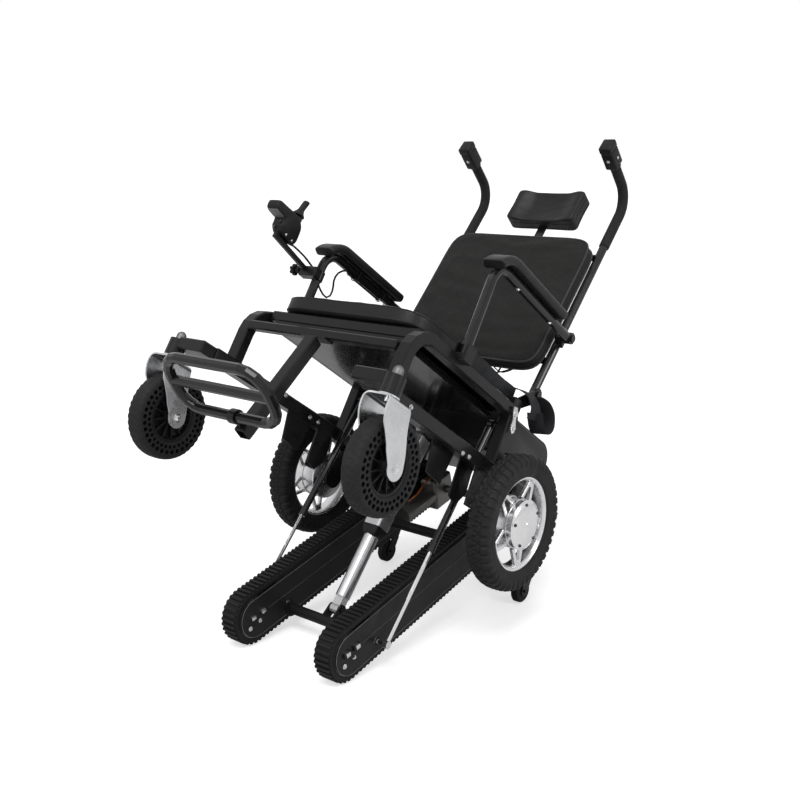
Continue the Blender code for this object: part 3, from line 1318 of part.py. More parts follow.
def push_grips(pivot):
    """Foam grips bent forward, each ending in a square switch box."""
    for side, word in SIDES:
        x = side * BACK_TUBE_X
        corner = place(0.0, GRIP_CORNER, x)
        end = corner + place(GRIP_REACH * math.cos(GRIP_RISE), GRIP_REACH * math.sin(GRIP_RISE))
        path = rounded([place(0.0, GRIP_START, x), corner, end], GRIP_BEND, 6)
        sleeve = swept(path, round_section(GRIP_RADIUS, 10), (1, 0, 0))
        grip = add("push_grip_" + word, sleeve, "black_plastic", pivot)
        centre = end + place(GRIP_BOX_LENGTH / 2 * math.cos(GRIP_RISE) - OVERLAP,
                             GRIP_BOX_LENGTH / 2 * math.sin(GRIP_RISE))
        weld(grip, block((GRIP_BOX_WIDTH, GRIP_BOX_LENGTH, GRIP_BOX_HEIGHT), centre,
                         pitch=-GRIP_RISE, bevel=0.004))
        cut(grip, rod(place(0.0, GRIP_START - OVERLAP, x),
                      place(0.0, BACK_TUBE_LENGTH + GAP, x), BACK_TUBE_RADIUS + GAP, 16))


def headrest(pivot):
    """Dished pad on a flat stem that slides in the socket behind the upper bar."""
    slide = empty("headrest_slide", pivot, place(-STEM_BEHIND, BACK_BAR_HIGH))
    rise = HEAD_PAD_HEIGHT - BACK_BAR_HIGH
    stem_middle = (rise + STEM_ABOVE - STEM_BELOW) / 2
    stem = add("headrest_stem", block((STEM_WIDTH, STEM_THICKNESS, rise + STEM_ABOVE + STEM_BELOW),
                                      place(0.0, stem_middle), bevel=STEM_THICKNESS / 8),
               "black_paint", slide)
    shape = pillow((HEAD_PAD_WIDTH, HEAD_PAD_TALL, HEAD_PAD_THICKNESS), -HEAD_PAD_DISH, 0.03,
                   power=9.0, cuts=5, wings=HEAD_PAD_WINGS)
    rest = min(vert.co.z for vert in shape.verts)
    upright = Matrix.Rotation(math.tau / 4, 4, "X")
    back = STEM_BEHIND - HEAD_PAD_THICKNESS / 2
    pad = add("headrest_pad", moved(shape, place(back - rest, rise), upright), "leather", slide,
              crease=50.0)
    pocket_top = rise + STEM_ABOVE + GAP
    pocket_bottom = rise - HEAD_PAD_TALL / 2 - HEAD_PAD_WINGS
    cut(pad, block((STEM_WIDTH + 2 * GAP, STEM_THICKNESS + 2 * GAP, pocket_top - pocket_bottom),
                   place(0.0, (pocket_top + pocket_bottom) / 2)))
    return stem


def armrest(side, word, pivot):
    """Bent arm tube on the back tube's bolt, its pad, and on the right side the controller."""
    ahead, up = arm_pivot_on_tube()
    hinge = empty("armrest_hinge_" + word, pivot, place(ahead, up, side * ARM_X), BACK_LEAN)
    frame = add("armrest_frame_" + word, arm_tube(ARM_TUBE_RADIUS), "black_paint", hinge)
    weld(frame, rod((-ARM_TUBE_RADIUS, 0.0, 0.0), (ARM_TUBE_RADIUS, 0.0, 0.0),
                    ARM_EYE_RADIUS, 14))
    cut(frame, rod((-2 * ARM_TUBE_RADIUS, 0.0, 0.0), (2 * ARM_TUBE_RADIUS, 0.0, 0.0),
                   ARM_BOLT_RADIUS + RUNNING, 14))
    add("armrest_pad_" + word, arm_pad(), "leather", hinge)
    if side < 0:
        controller(hinge)
    return frame


def arm_line():
    """The corners of the arm: its pivot, the front bend and the foot of the post."""
    front = ARM_POST_FORWARD - ARM_PIVOT_FORWARD
    foot = ARM_POST_BOTTOM - ARM_PIVOT_Z
    return [place(0.0, 0.0), place(front, -ARM_DROP), place(front, foot)]


def arm_tube(radius):
    """The bent arm as a solid bar of the given radius."""
    path = rounded(arm_line(), ARM_BEND, ARM_BEND_STEPS)
    return swept(path, round_section(radius, 12), (1, 0, 0))


def arm_pad():
    """The pad on top of the arm tube, wrapping round part of its front bend."""
    line = arm_line()
    back = (line[0] - line[1]).normalized()
    down = (line[2] - line[1]).normalized()
    half = back.angle(down) / 2
    centre = line[1] + (back + down).normalized() * ARM_BEND / math.sin(half)
    lift = ARM_TUBE_RADIUS + PAD_THICKNESS / 2 + 2 * GAP
    normal = Vector((1, 0, 0)).cross(back)
    first = normal * (ARM_BEND + lift)
    step_angle = (math.pi - back.angle(down)) / ARM_BEND_STEPS
    path = [line[0] + back * (ARM_PIVOT_FORWARD - PAD_REAR) + normal * lift]
    for step in range(PAD_WRAP_STEPS + 1):
        path.append(centre + Matrix.Rotation(step * step_angle, 3, "X") @ first)
    return swept(path, square_section(PAD_THICKNESS, PAD_WIDTH, 0.007), (1, 0, 0))


def arm_point(forward, height, side=0.0):
    """A point of the level chair seen from the armrest's pivot."""
    return place(forward - ARM_PIVOT_FORWARD, height - ARM_PIVOT_Z, side)


def control_bar_rise():
    """The slope of the bar that carries the joystick box."""
    return math.atan2(CONTROL_BAR_END_Z - CONTROL_BAR_Z, CONTROL_BAR_END - CLAMP_FRONT)


def over_control_bar(forward, lift):
    """The height of a line parallel to the control bar's top, lifted off it."""
    rise = control_bar_rise()
    middle = CONTROL_BAR_Z + (forward - CLAMP_FRONT) * math.tan(rise)
    return middle + (CONTROL_BAR_HEIGHT / 2 + lift) / math.cos(rise)


def controller_outline():
    """The joystick box from the side: deep at the back, with a thin nose ahead."""
    corner = CONTROL_CORNER
    nose = CONTROL_TOP - CONTROL_NOSE
    rear_foot = CONTROL_REAR + corner * 0.65
    front_foot = CONTROL_STEP - corner * 1.5
    step_low = over_control_bar(CONTROL_STEP, CONTROL_SEAT_RISE + corner)
    return [(CONTROL_FRONT - corner / 4, CONTROL_TOP), (CONTROL_FRONT, CONTROL_TOP - corner / 2),
            (CONTROL_FRONT, nose + corner / 4), (CONTROL_FRONT - corner / 2, nose),
            (CONTROL_STEP + corner / 4, nose - corner / 3), (CONTROL_STEP, step_low),
            (front_foot, over_control_bar(front_foot, CONTROL_SEAT_RISE)),
            (rear_foot, over_control_bar(rear_foot, CONTROL_SEAT_RISE)),
            (CONTROL_REAR, CONTROL_TOP - corner * 4), (CONTROL_REAR, CONTROL_TOP - corner * 2),
            (CONTROL_REAR + corner, CONTROL_TOP - corner * 0.7), (CONTROL_REAR + corner * 2, CONTROL_TOP)]


def control_bar(hinge):
    """The clamp on the right post, with its strap and the bar to the joystick box."""
    clamp_depth = CLAMP_FRONT - CLAMP_REAR
    clamp_width = CLAMP_INNER + CLAMP_OUTER
    clamp_aside = (CLAMP_INNER - CLAMP_OUTER) / 2
    clamp = add("controller_arm",
                block((clamp_width, clamp_depth, CLAMP_HEIGHT),
                      arm_point((CLAMP_FRONT + CLAMP_REAR) / 2, CLAMP_Z, clamp_aside), bevel=0.002),
                "black_plastic", hinge)
    strap_half = CLAMP_HEIGHT / 2 - OVERLAP / 2
    weld(clamp, rod(arm_point(ARM_POST_FORWARD, CLAMP_Z - strap_half),
                    arm_point(ARM_POST_FORWARD, CLAMP_Z + strap_half),
                    ARM_TUBE_RADIUS + CLAMP_STRAP, 24))
    rise = control_bar_rise()
    start = arm_point(CLAMP_FRONT - 2 * OVERLAP, CONTROL_BAR_Z, CONTROL_ASIDE)
    end = arm_point(CONTROL_BAR_END, CONTROL_BAR_END_Z, CONTROL_ASIDE)
    weld(clamp, block((CONTROL_BAR_WIDTH, (end - start).length, CONTROL_BAR_HEIGHT),
                      (start + end) / 2, pitch=-rise, bevel=0.001))
    thick = CONTROL_SEAT_RISE + OVERLAP - GAP
    seat_z = over_control_bar(CONTROL_SEAT, thick / 2 - OVERLAP)
    weld(clamp, block((CONTROL_BAR_WIDTH - OVERLAP, CONTROL_SEAT_LENGTH, thick),
                      arm_point(CONTROL_SEAT, seat_z, CONTROL_ASIDE), pitch=-rise))
    cut(clamp, arm_tube(ARM_TUBE_RADIUS + RUNNING))
    return clamp


def clamp_knob(hinge):
    """The star knob that tightens the clamp, outside the right armrest."""
    knob_x = -(CLAMP_OUTER + GAP)
    knob = empty("clamp_knob_turn", hinge, arm_point(KNOB_FORWARD, CLAMP_Z, knob_x))
    star = []
    for step in range(4 * KNOB_LOBES):
        angle = math.tau * step / (4 * KNOB_LOBES)
        radius = KNOB_RADIUS if step % 4 in (0, 1) else KNOB_RADIUS - KNOB_VALLEY
        star.append((radius * math.cos(angle), radius * math.sin(angle)))
    head = add("clamp_knob", prism(star, -KNOB_NECK, -KNOB_NECK - KNOB_DEPTH), "black_plastic", knob)
    weld(head, rod((0.0, 0.0, 0.0), (-KNOB_NECK - OVERLAP, 0.0, 0.0), KNOB_RADIUS / 2, 14))
    return head


def controller(hinge):
    """The joystick box on its bar, with the stick, the power button and the cable."""
    control_bar(hinge)
    clamp_knob(hinge)
    moved_outline = [(ahead - ARM_PIVOT_FORWARD, up - ARM_PIVOT_Z)
                     for ahead, up in controller_outline()]
    half = CONTROL_WIDTH / 2
    body = add("controller_body", prism(moved_outline, CONTROL_ASIDE - half, CONTROL_ASIDE + half),
               "black_plastic", hinge)
    weld(body, block((GLAND_SIZE, GLAND_LENGTH, GLAND_SIZE),
                     arm_point(GLAND_REAR + GLAND_LENGTH / 2, GLAND_Z, CONTROL_ASIDE)))
    upright = Matrix.Rotation(-math.tau / 4, 4, "Y")
    ring = turned([(-STICK_RING_DEEP, 0.0), (-STICK_RING_DEEP, STICK_RING_BASE), (0.0, STICK_RING_BASE),
                   (STICK_RING_HEIGHT, STICK_RING_TOP), (STICK_RING_HEIGHT, 0.0)], 24, closed=False)
    weld(body, moved(ring, arm_point(STICK_FORWARD, CONTROL_TOP, CONTROL_ASIDE), upright))
    cut(body, rod(arm_point(STICK_FORWARD, CONTROL_TOP + STICK_RING_HEIGHT + OVERLAP, CONTROL_ASIDE),
                  arm_point(STICK_FORWARD, STICK_PIVOT_Z - GIMBAL_RADIUS - GAP, CONTROL_ASIDE),
                  STICK_POCKET_RADIUS, 24))
    cut(body, rod(arm_point(BUTTON_FORWARD, CONTROL_TOP + OVERLAP, CONTROL_ASIDE),
                  arm_point(BUTTON_FORWARD, CONTROL_TOP - BUTTON_DEPTH, CONTROL_ASIDE),
                  BUTTON_RADIUS + GAP * 2, 16))
    joystick(hinge, upright)
    press = empty("power_button_press", hinge, arm_point(BUTTON_FORWARD, CONTROL_TOP, CONTROL_ASIDE))
    add("power_button", rod((0.0, 0.0, BUTTON_PROUD), (0.0, 0.0, BUTTON_PROUD - BUTTON_HEIGHT),
                            BUTTON_RADIUS, 16), "grey_metal", press)
    cable(hinge)
    return body


def joystick(hinge, upright):
    """The stick on its gimbal, with a hood over the box's ring and a knob leaning back."""
    gimbal = empty("joystick_pivot", hinge, arm_point(STICK_FORWARD, STICK_PIVOT_Z, CONTROL_ASIDE))
    add("joystick_gimbal", rod((-GIMBAL_HALF, 0.0, 0.0), (GIMBAL_HALF, 0.0, 0.0),
                               GIMBAL_RADIUS, 12), "grey_metal", gimbal)
    hood = CONTROL_TOP - STICK_PIVOT_Z + STICK_RING_HEIGHT + OVERLAP
    rim = hood - STICK_RING_HEIGHT - OVERLAP / 2
    profile = [(GIMBAL_RADIUS + RUNNING, 0.0), (GIMBAL_RADIUS + RUNNING, STICK_STEM),
               (hood + OVERLAP, STICK_STEM), (hood + OVERLAP, STICK_HOOD), (rim + 2 * OVERLAP, STICK_SKIRT),
               (hood, STICK_SKIRT), (hood + 2 * OVERLAP, STICK_HOOD), (hood + 6 * OVERLAP, 0.0075),
               (STICK_HEIGHT - 0.002, 0.0075), (STICK_HEIGHT, 0.005), (STICK_HEIGHT, 0.0)]
    shape = moved(turned(profile, 20, closed=False), (0.0, 0.0, 0.0), upright)
    for vert in shape.verts:
        vert.co.y += math.tan(STICK_LEAN) * max(0.0, vert.co.z - hood - OVERLAP)
    return add("joystick", shape, "black_plastic", gimbal)


CABLE_ROUTE = (
    (0.4212, 0.5993, -0.0250), (0.4060, 0.5992, -0.0250), (0.3892, 0.5985, -0.0250),
    (0.3677, 0.5965, -0.0250), (0.3480, 0.5925, -0.0248), (0.3320, 0.5882, -0.0240),
    (0.3190, 0.5785, -0.0226), (0.3060, 0.5665, -0.0200), (0.2946, 0.5570, -0.0170),
    (0.2820, 0.5470, -0.0130), (0.2715, 0.5412, -0.0080), (0.2620, 0.5430, -0.0045),
    (0.2590, 0.5550, -0.0020), (0.2631, 0.5699, 0.0000), (0.2706, 0.5885, 0.0000),
    (0.2690, 0.6065, 0.0010), (0.2620, 0.6190, 0.0060), (0.2520, 0.6262, 0.0085),
    (0.2403, 0.6258, 0.0050),
)
CABLE_UNDER_ARM = (0.205, 0.170, 0.130, 0.090)


def arm_height(forward):
    """Height of the arm tube's middle line at a distance ahead of the rear axle."""
    share = (forward - ARM_PIVOT_FORWARD) / (ARM_POST_FORWARD - ARM_PIVOT_FORWARD)
    return ARM_PIVOT_Z - ARM_DROP * share


def smooth_route(points, spacing):
    """Points every so far along a smooth curve through the route's own points."""
    knots = [Vector(point) for point in points]
    fine = []
    for index in range(len(knots) - 1):
        before = knots[max(index - 1, 0)]
        start = knots[index]
        end = knots[index + 1]
        after = knots[min(index + 2, len(knots) - 1)]
        for step in range(20):
            t = step / 20
            fine.append(0.5 * (2 * start + (end - before) * t
                               + (2 * before - 5 * start + 4 * end - after) * t * t
                               + (3 * start - before - 3 * end + after) * t * t * t))
    fine.append(knots[-1])
    total = sum((two - one).length for one, two in zip(fine, fine[1:]))
    count = max(2, round(total / spacing))
    route = [fine[0]]
    walked = 0.0
    for one, two in zip(fine, fine[1:]):
        step = (two - one).length
        while len(route) < count and walked + step >= total * len(route) / count:
            share = (total * len(route) / count - walked) / step
            route.append(one.lerp(two, share))
        walked += step
    route.append(fine[-1])
    return route


def cable(hinge):
    """The lead from the controller, past the clamp and along the underside of the arm."""
    curve = bpy.data.curves.new("controller_cable", "CURVE")
    curve.dimensions = "3D"
    curve.bevel_depth = CABLE_RADIUS
    curve.bevel_resolution = 1
    curve.use_fill_caps = True
    points = [arm_point(*point) for point in CABLE_ROUTE]
    for forward in CABLE_UNDER_ARM:
        below = ARM_TUBE_RADIUS + CABLE_RADIUS + 2 * GAP
        points.append(arm_point(forward, arm_height(forward) - below))
    route = smooth_route(points, CABLE_RADIUS * 5)
    spline = curve.splines.new("POLY")
    spline.points.add(len(route) - 1)
    for target, point in zip(spline.points, route):
        target.co = (*point, 1.0)
    lead = bpy.data.objects.new("controller_cable", curve)
    bpy.context.scene.collection.objects.link(lead)
    lead.parent = hinge
    curve.materials.append(material("controller_cable", *FINISHES["tyre_rubber"]))
    return lead


def floor_tilt():
    """How far the chair tips back when the front drums and the rear rollers share a floor."""
    drum_forward, drum_up = turn_of(TRACK_LENGTH, 0.0, TRACK_LOWERED)
    ahead = drum_forward - TRACK_PIVOT_BACK + ROLLER_BACK
    above = drum_up + TRACK_PIVOT_Z - ROLLER_Z
    spread = TRACK_RADIUS - ROLLER_RADIUS
    return math.asin(spread / math.hypot(ahead, above)) - math.atan2(above, ahead)


def stand_on_origin(chair):
    """Shift the chair so that its bounding box is centred on the origin and stands on Z 0."""
    bpy.context.view_layer.update()
    graph = bpy.context.evaluated_depsgraph_get()
    corners = []
    for part in bpy.data.objects:
        if part.type in {"MESH", "CURVE"} and not part.hide_render:
            seen = part.evaluated_get(graph)
            mesh = seen.to_mesh()
            corners += [part.matrix_world @ vert.co for vert in mesh.vertices]
            seen.to_mesh_clear()
    low = [min(corner[axis] for corner in corners) for axis in range(3)]
    high = [max(corner[axis] for corner in corners) for axis in range(3)]
    chair.location.x -= (low[0] + high[0]) / 2
    chair.location.y -= (low[1] + high[1]) / 2
    chair.location.z -= low[2]
    bpy.context.view_layer.update()


def main():
    clear_scene()
    chair = empty("chair", None, (0.0, 0.0, 0.0), -floor_tilt())
    for side, word in SIDES:
        side_frame(side, word, chair)
        caster_arm(side, word, chair)
        caster(side, word, chair)
        rear_wheel(side, word, chair)
    leg_frame(chair)
    cross_bar("seat_bar", SEAT_BAR_FORWARD, SEAT_BAR_Z, BAR_SIZE, chair)
    rear_bar(chair)
    battery_tray(chair)
    battery_box(chair)
    footrest(chair)
    seat_base(chair)
    rollers(chair)
    seat_cushion(chair)
    seat_belt(chair)
    backrest(chair)
    track_unit(chair)
    actuator(chair)
    struts(chair)
    stand_on_origin(chair)


main()
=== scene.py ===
"""Looks of the stair climbing power chair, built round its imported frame."""
import json
import math

import bmesh
import bpy
from mathutils import Matrix, Vector, noise


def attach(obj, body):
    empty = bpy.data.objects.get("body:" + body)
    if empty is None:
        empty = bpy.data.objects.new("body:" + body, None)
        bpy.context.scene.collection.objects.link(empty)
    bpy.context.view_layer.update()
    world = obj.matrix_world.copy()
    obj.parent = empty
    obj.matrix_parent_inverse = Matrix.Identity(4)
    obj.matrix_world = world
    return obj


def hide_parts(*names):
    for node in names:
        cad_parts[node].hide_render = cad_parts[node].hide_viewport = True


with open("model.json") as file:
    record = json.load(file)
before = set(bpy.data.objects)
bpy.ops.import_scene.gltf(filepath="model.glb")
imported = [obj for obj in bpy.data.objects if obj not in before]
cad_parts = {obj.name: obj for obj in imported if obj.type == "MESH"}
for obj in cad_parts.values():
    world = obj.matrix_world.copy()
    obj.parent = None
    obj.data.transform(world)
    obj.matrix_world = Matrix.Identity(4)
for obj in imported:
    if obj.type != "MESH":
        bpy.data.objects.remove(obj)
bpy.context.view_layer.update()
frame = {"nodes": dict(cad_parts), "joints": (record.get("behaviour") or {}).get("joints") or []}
JOINTS = {row["name"]: row for row in frame["joints"]}
LEFT = Vector((1, 0, 0))
SIDES = ((1, "left"), (-1, "right"))

# Sizes that the pieces share with the frame, in metres
AXLE_HEIGHT = 0.1575
ARM_X = 0.25
ARM_PIVOT = (-0.05, 0.643)
ARM_POST = 0.326
ARM_DROP = 0.004
ARM_BEND = 0.045
ARM_TUBE = 0.0115
TRACK_X = 0.1422
TRACK_WIDTH = 0.0466
TRACK_LENGTH = 0.67
TRACK_RADIUS = 0.0642

# The photograph's camera, seen from the level chair, and its lens
CAMERA_PLACE = (2.0159, -0.2319, 1.5011)
CAMERA_LOOK = (-0.75513, 0.23477, -0.6121)
CAMERA_UPRIGHT = (0.39648, 0.90712, -0.1412)
CAMERA_LENS = 46.565
CAMERA_CLIP = (0.05, 200.0)


def at(ahead, up, side=0.0):
    """A point in a frame's own directions: ahead, up and to the chair's left."""
    return Vector((side, -ahead, up))


def frame_at(origin, up):
    """A frame with X to the chair's left, Z along up and minus Y ahead."""
    up = Vector(up).normalized()
    rear = up.cross(LEFT)
    made = Matrix((LEFT, rear, up)).transposed().to_4x4()
    made.translation = Vector(origin)
    return made


def joint_point(name, middle=True):
    """Where a joint's axis is, on the chair's middle plane unless told otherwise."""
    point = Vector(JOINTS[name]["pos_m"])
    if middle:
        point.x = 0.0
    return point


CHAIR_UP = Vector(JOINTS["caster_swivel_left"]["axis"]).normalized()
CHAIR = frame_at(joint_point("rear_wheel_spin_left") - CHAIR_UP * AXLE_HEIGHT, CHAIR_UP)
BACK = frame_at(joint_point("backrest_recline"), JOINTS["headrest_slide"]["axis"])
TRACK_ORIGIN = joint_point("track_fold")
TRACK_AHEAD = (joint_point("idler_spin_left") - TRACK_ORIGIN).normalized()
TRACK = frame_at(TRACK_ORIGIN, TRACK_AHEAD.cross(LEFT))
ACTUATOR = frame_at(joint_point("actuator_swing"), -Vector(JOINTS["actuator_stroke"]["axis"]))


def wheel_frame(joint):
    return frame_at(joint_point(joint, middle=False), CHAIR_UP)


def linked(name, data):
    """An object made from its data and linked into the scene."""
    made = bpy.data.objects.new(name, data)
    bpy.context.scene.collection.objects.link(made)
    return made


# Camera
def make_camera():
    camera = linked("camera", bpy.data.cameras.new("camera"))
    camera.data.lens = CAMERA_LENS
    camera.data.clip_start, camera.data.clip_end = CAMERA_CLIP
    turn = CHAIR.to_3x3()
    look = turn @ at(*CAMERA_LOOK)
    upright = turn @ at(*CAMERA_UPRIGHT)
    right = look.cross(upright).normalized()
    upright = right.cross(look).normalized()
    made = Matrix((right, upright, -look.normalized())).transposed().to_4x4()
    made.translation = CHAIR @ at(*CAMERA_PLACE)
    camera.matrix_world = made
    bpy.context.scene.camera = camera


make_camera()


# Materials
class Nodes:
    """A node tree that is built up by calls."""

    def __init__(self, tree):
        self.tree = tree

    def add(self, kind, **values):
        node = self.tree.nodes.new(kind)
        for key, value in values.items():
            if hasattr(node, key):
                setattr(node, key, value)
            else:
                node.inputs[key].default_value = value
        return node

    def link(self, source, target):
        self.tree.links.new(source, target)

    def spread(self, value, low, high, start=0.0, end=1.0):
        node = self.add("ShaderNodeMapRange")
        for index, number in ((1, low), (2, high), (3, start), (4, end)):
            node.inputs[index].default_value = number
        self.link(value, node.inputs[0])
        return node.outputs[0]

    def pair(self, operation, first, second):
        """Two values joined by a Math node."""
        node = self.add("ShaderNodeMath", operation=operation)
        self.link(first, node.inputs[0])
        self.link(second, node.inputs[1])
        return node.outputs[0]


class Finish(Nodes):
    """A Principled material whose colour, roughness and relief come from nodes."""

    def __init__(self, name, colour, metal=0.0):
        self.material = bpy.data.materials.new(name)
        self.material.use_nodes = True
        super().__init__(self.material.node_tree)
        self.shader = self.tree.nodes["Principled BSDF"]
        self.shader.inputs["Metallic"].default_value = metal
        self.colour = colour
        self.place = self.add("ShaderNodeTexCoord").outputs["Object"]
        self.relief = None

    def cloud(self, scale, detail=3.0, stretch=(1.0, 1.0, 1.0), rough=0.5):
        """Noise between 0 and 1, stretched along the axes."""
        mapping = self.add("ShaderNodeMapping", Scale=stretch)
        self.link(self.place, mapping.inputs["Vector"])
        node = self.add("ShaderNodeTexNoise", Scale=scale, Detail=detail, Roughness=rough)
        self.link(mapping.outputs["Vector"], node.inputs["Vector"])
        return node.outputs["Fac"]

    def cells(self, scale):
        node = self.add("ShaderNodeTexVoronoi", Scale=scale)
        self.link(self.place, node.inputs["Vector"])
        return node.outputs["Distance"]

    def threads(self, scale, axis):
        node = self.add("ShaderNodeTexWave", Scale=scale, wave_type="BANDS", bands_direction=axis,
            wave_profile="SIN", Distortion=0.3)
        self.link(self.place, node.inputs["Vector"])
        return node.outputs["Fac"]

    def tint(self, mask, colour):
        """Mix another colour over the base where the mask is 1."""
        node = self.add("ShaderNodeMix", data_type="RGBA")
        base = self.shader.inputs["Base Color"]
        if base.is_linked:
            self.link(base.links[0].from_socket, node.inputs[6])
        else:
            node.inputs[6].default_value = (*self.colour, 1.0)
        node.inputs[7].default_value = (*colour, 1.0)
        self.link(mask, node.inputs[0])
        self.link(node.outputs[2], base)
        return self

    def shine(self, mask, low, high):
        """Roughness from low to high as the mask goes from 0 to 1."""
        self.link(self.spread(mask, 0.25, 0.75, low, high), self.shader.inputs["Roughness"])
        return self

    def bump(self, height, distance, strength=1.0):
        node = self.add("ShaderNodeBump", Strength=strength, Distance=distance)
        self.link(height, node.inputs["Height"])
        if self.relief is not None:
            self.link(self.relief, node.inputs["Normal"])
        self.relief = node.outputs["Normal"]
        self.link(self.relief, self.shader.inputs["Normal"])
        return self

    def set(self, **values):
        for key, value in values.items():
            self.shader.inputs[key.replace("_", " ")].default_value = value
        return self


def shade(colour, share):
    return tuple(part * share for part in colour)


def paint(name, colour=(0.0075, 0.0075, 0.008), rough=0.3, coat=0.2):
    """Powder coat: a faint orange peel with scuffs and dust in patches."""
    made = Finish(name, colour)
    made.tint(made.spread(made.cloud(7.0), 0.35, 0.75), shade(colour, 1.5))
    made.tint(made.spread(made.cloud(160.0, 5.0), 0.66, 0.78), shade(colour, 3.0))
    made.shine(made.cloud(24.0, 4.0), rough - 0.06, rough + 0.1)
    made.bump(made.cloud(1500.0, 2.0), 0.00008, 0.5)
    made.bump(made.cloud(260.0, 2.0), 0.0003, 0.12)
    return made.set(Coat_Weight=coat, Coat_Roughness=0.12, Specular_IOR_Level=0.2).material


def gloss_plastic(name, colour=(0.0065, 0.0065, 0.007), rough=0.16):
    made = Finish(name, colour)
    made.tint(made.spread(made.cloud(9.0), 0.4, 0.8), shade(colour, 1.8))
    made.shine(made.cloud(35.0, 3.0), rough - 0.02, rough + 0.04)
    made.bump(made.cloud(420.0, 2.0), 0.0003, 0.1)
    return made.set(Coat_Weight=0.25, Coat_Roughness=0.06, Specular_IOR_Level=0.2).material


def moulded(name, colour=(0.0095, 0.0095, 0.0103), rough=0.42):
    """Spark eroded plastic: a fine even grain."""
    made = Finish(name, colour)
    made.tint(made.spread(made.cloud(30.0, 4.0), 0.4, 0.75), shade(colour, 1.5))
    made.shine(made.cloud(60.0, 4.0), rough - 0.08, rough + 0.1)
    made.bump(made.cells(1700.0), 0.00012, 0.5)
    return made.set(Specular_IOR_Level=0.22).material


def rubber(name, colour, rough=0.68, dust=(0.075, 0.073, 0.07)):
    made = Finish(name, colour)
    made.tint(made.spread(made.cloud(14.0, 5.0), 0.35, 0.8), shade(colour, 1.6))
    made.tint(made.spread(made.cloud(75.0, 6.0, rough=0.7), 0.6, 0.8), dust)
    made.shine(made.cloud(40.0, 4.0), rough - 0.12, rough + 0.12)
    made.bump(made.cloud(900.0, 4.0), 0.00025, 0.45)
    return made.set(Specular_IOR_Level=0.2).material


def hide(name, colour=(0.0085, 0.0083, 0.0082), rough=0.38):
    """Soft upholstery hide: pebbled grain, fine creases and rubbed places."""
    made = Finish(name, colour)
    made.tint(made.spread(made.cloud(11.0, 4.0), 0.35, 0.8), shade(colour, 1.9))
    made.shine(made.cloud(26.0, 5.0), rough - 0.09, rough + 0.1)
    made.bump(made.cells(620.0), 0.0005, 0.3)
    made.bump(made.cells(1500.0), 0.00025, 0.35)
    made.bump(made.cloud(70.0, 4.0, (1.0, 0.35, 1.0)), 0.0018, 0.18)
    return made.set(Specular_IOR_Level=0.26).material


def cloth(name, colour=(0.0165, 0.0155, 0.015)):
    """Close woven cover: two thread directions with slight colour changes."""
    made = Finish(name, colour)
    across = made.threads(520.0, "X")
    along = made.threads(520.0, "Z")
    weave = made.pair("MULTIPLY", across, along)
    made.tint(made.spread(weave, 0.1, 0.9), shade(colour, 1.35))
    made.tint(made.spread(made.cloud(9.0, 5.0), 0.45, 0.8), shade(colour, 0.72))
    made.shine(made.cloud(120.0, 3.0), 0.52, 0.72)
    made.bump(weave, 0.00022, 0.5)
    made.bump(made.cloud(45.0, 5.0, (1.0, 0.5, 1.0)), 0.0022, 0.22)
    return made.set(Sheen_Weight=0.04, Sheen_Roughness=0.5, Specular_IOR_Level=0.15).material


def webbing(name, colour=(0.017, 0.0175, 0.0195)):
    made = Finish(name, colour)
    ribs = made.threads(330.0, "DIAGONAL")
    made.tint(made.spread(ribs, 0.2, 0.9), shade(colour, 1.7))
    made.tint(made.spread(made.cloud(30.0, 5.0), 0.5, 0.8), shade(colour, 0.6))
    made.shine(made.cloud(90.0), 0.5, 0.72)
    made.bump(ribs, 0.0004, 0.6)
    return made.set(Sheen_Weight=0.03, Specular_IOR_Level=0.15).material


def foam(name, colour=(0.0125, 0.0125, 0.0135)):
    made = Finish(name, colour)
    made.tint(made.spread(made.cloud(26.0, 5.0), 0.35, 0.75), shade(colour, 1.7))
    made.shine(made.cloud(50.0), 0.6, 0.8)
    made.bump(made.cells(1300.0), 0.0003, 0.6)
    return made.set(Sheen_Weight=0.03, Specular_IOR_Level=0.2).material


def metal(name, colour=(0.72, 0.72, 0.735), rough=0.28, brush=(1.0, 1.0, 1.0), stain=0.82):
    """Bare metal: fine brushing along one direction, cloudy stains and small pits."""
    made = Finish(name, colour, 1.0)
    made.tint(made.spread(made.cloud(22.0, 3.0), 0.45, 0.85), shade(colour, stain))
    made.shine(made.cloud(40.0, 3.0), rough - 0.05, rough + 0.07)
    made.bump(made.cloud(600.0, 3.0, brush), 0.00003, 0.25)
    return made.material


PAINT = paint("black_powder_coat")
PAINT_TUBE = paint("black_gloss_tube", rough=0.2, coat=0.5)
TRACK_PAINT = paint("black_matt_plate", (0.01, 0.01, 0.0105), 0.45, 0.05)
GLOSS = gloss_plastic("black_gloss_panel")
CASE = gloss_plastic("black_case", (0.007, 0.007, 0.0075), 0.28)
MOULDED = moulded("black_moulded")
GREY_PLASTIC = moulded("grey_moulded", (0.16, 0.16, 0.165), 0.42)
TYRE = rubber("wheel_rubber", (0.0135, 0.0135, 0.0142), 0.62, (0.042, 0.041, 0.04))
CASTER_RUBBER = rubber("caster_rubber", (0.015, 0.015, 0.0156), 0.64, (0.045, 0.044, 0.043))
BELT_RUBBER = rubber("belt_rubber", (0.0088, 0.0086, 0.0084), 0.52, (0.03, 0.028, 0.026))
CORD_RUBBER = rubber("cord_rubber", (0.012, 0.012, 0.013), 0.5)
HIDE = hide("seat_hide")
PAD_HIDE = hide("pad_hide", (0.012, 0.012, 0.0135), 0.32)
CLOTH = cloth("back_cloth")
PIPING = cloth("back_piping", (0.055, 0.056, 0.062))
WEBBING = webbing("belt_webbing")
FOAM = foam("grip_foam")
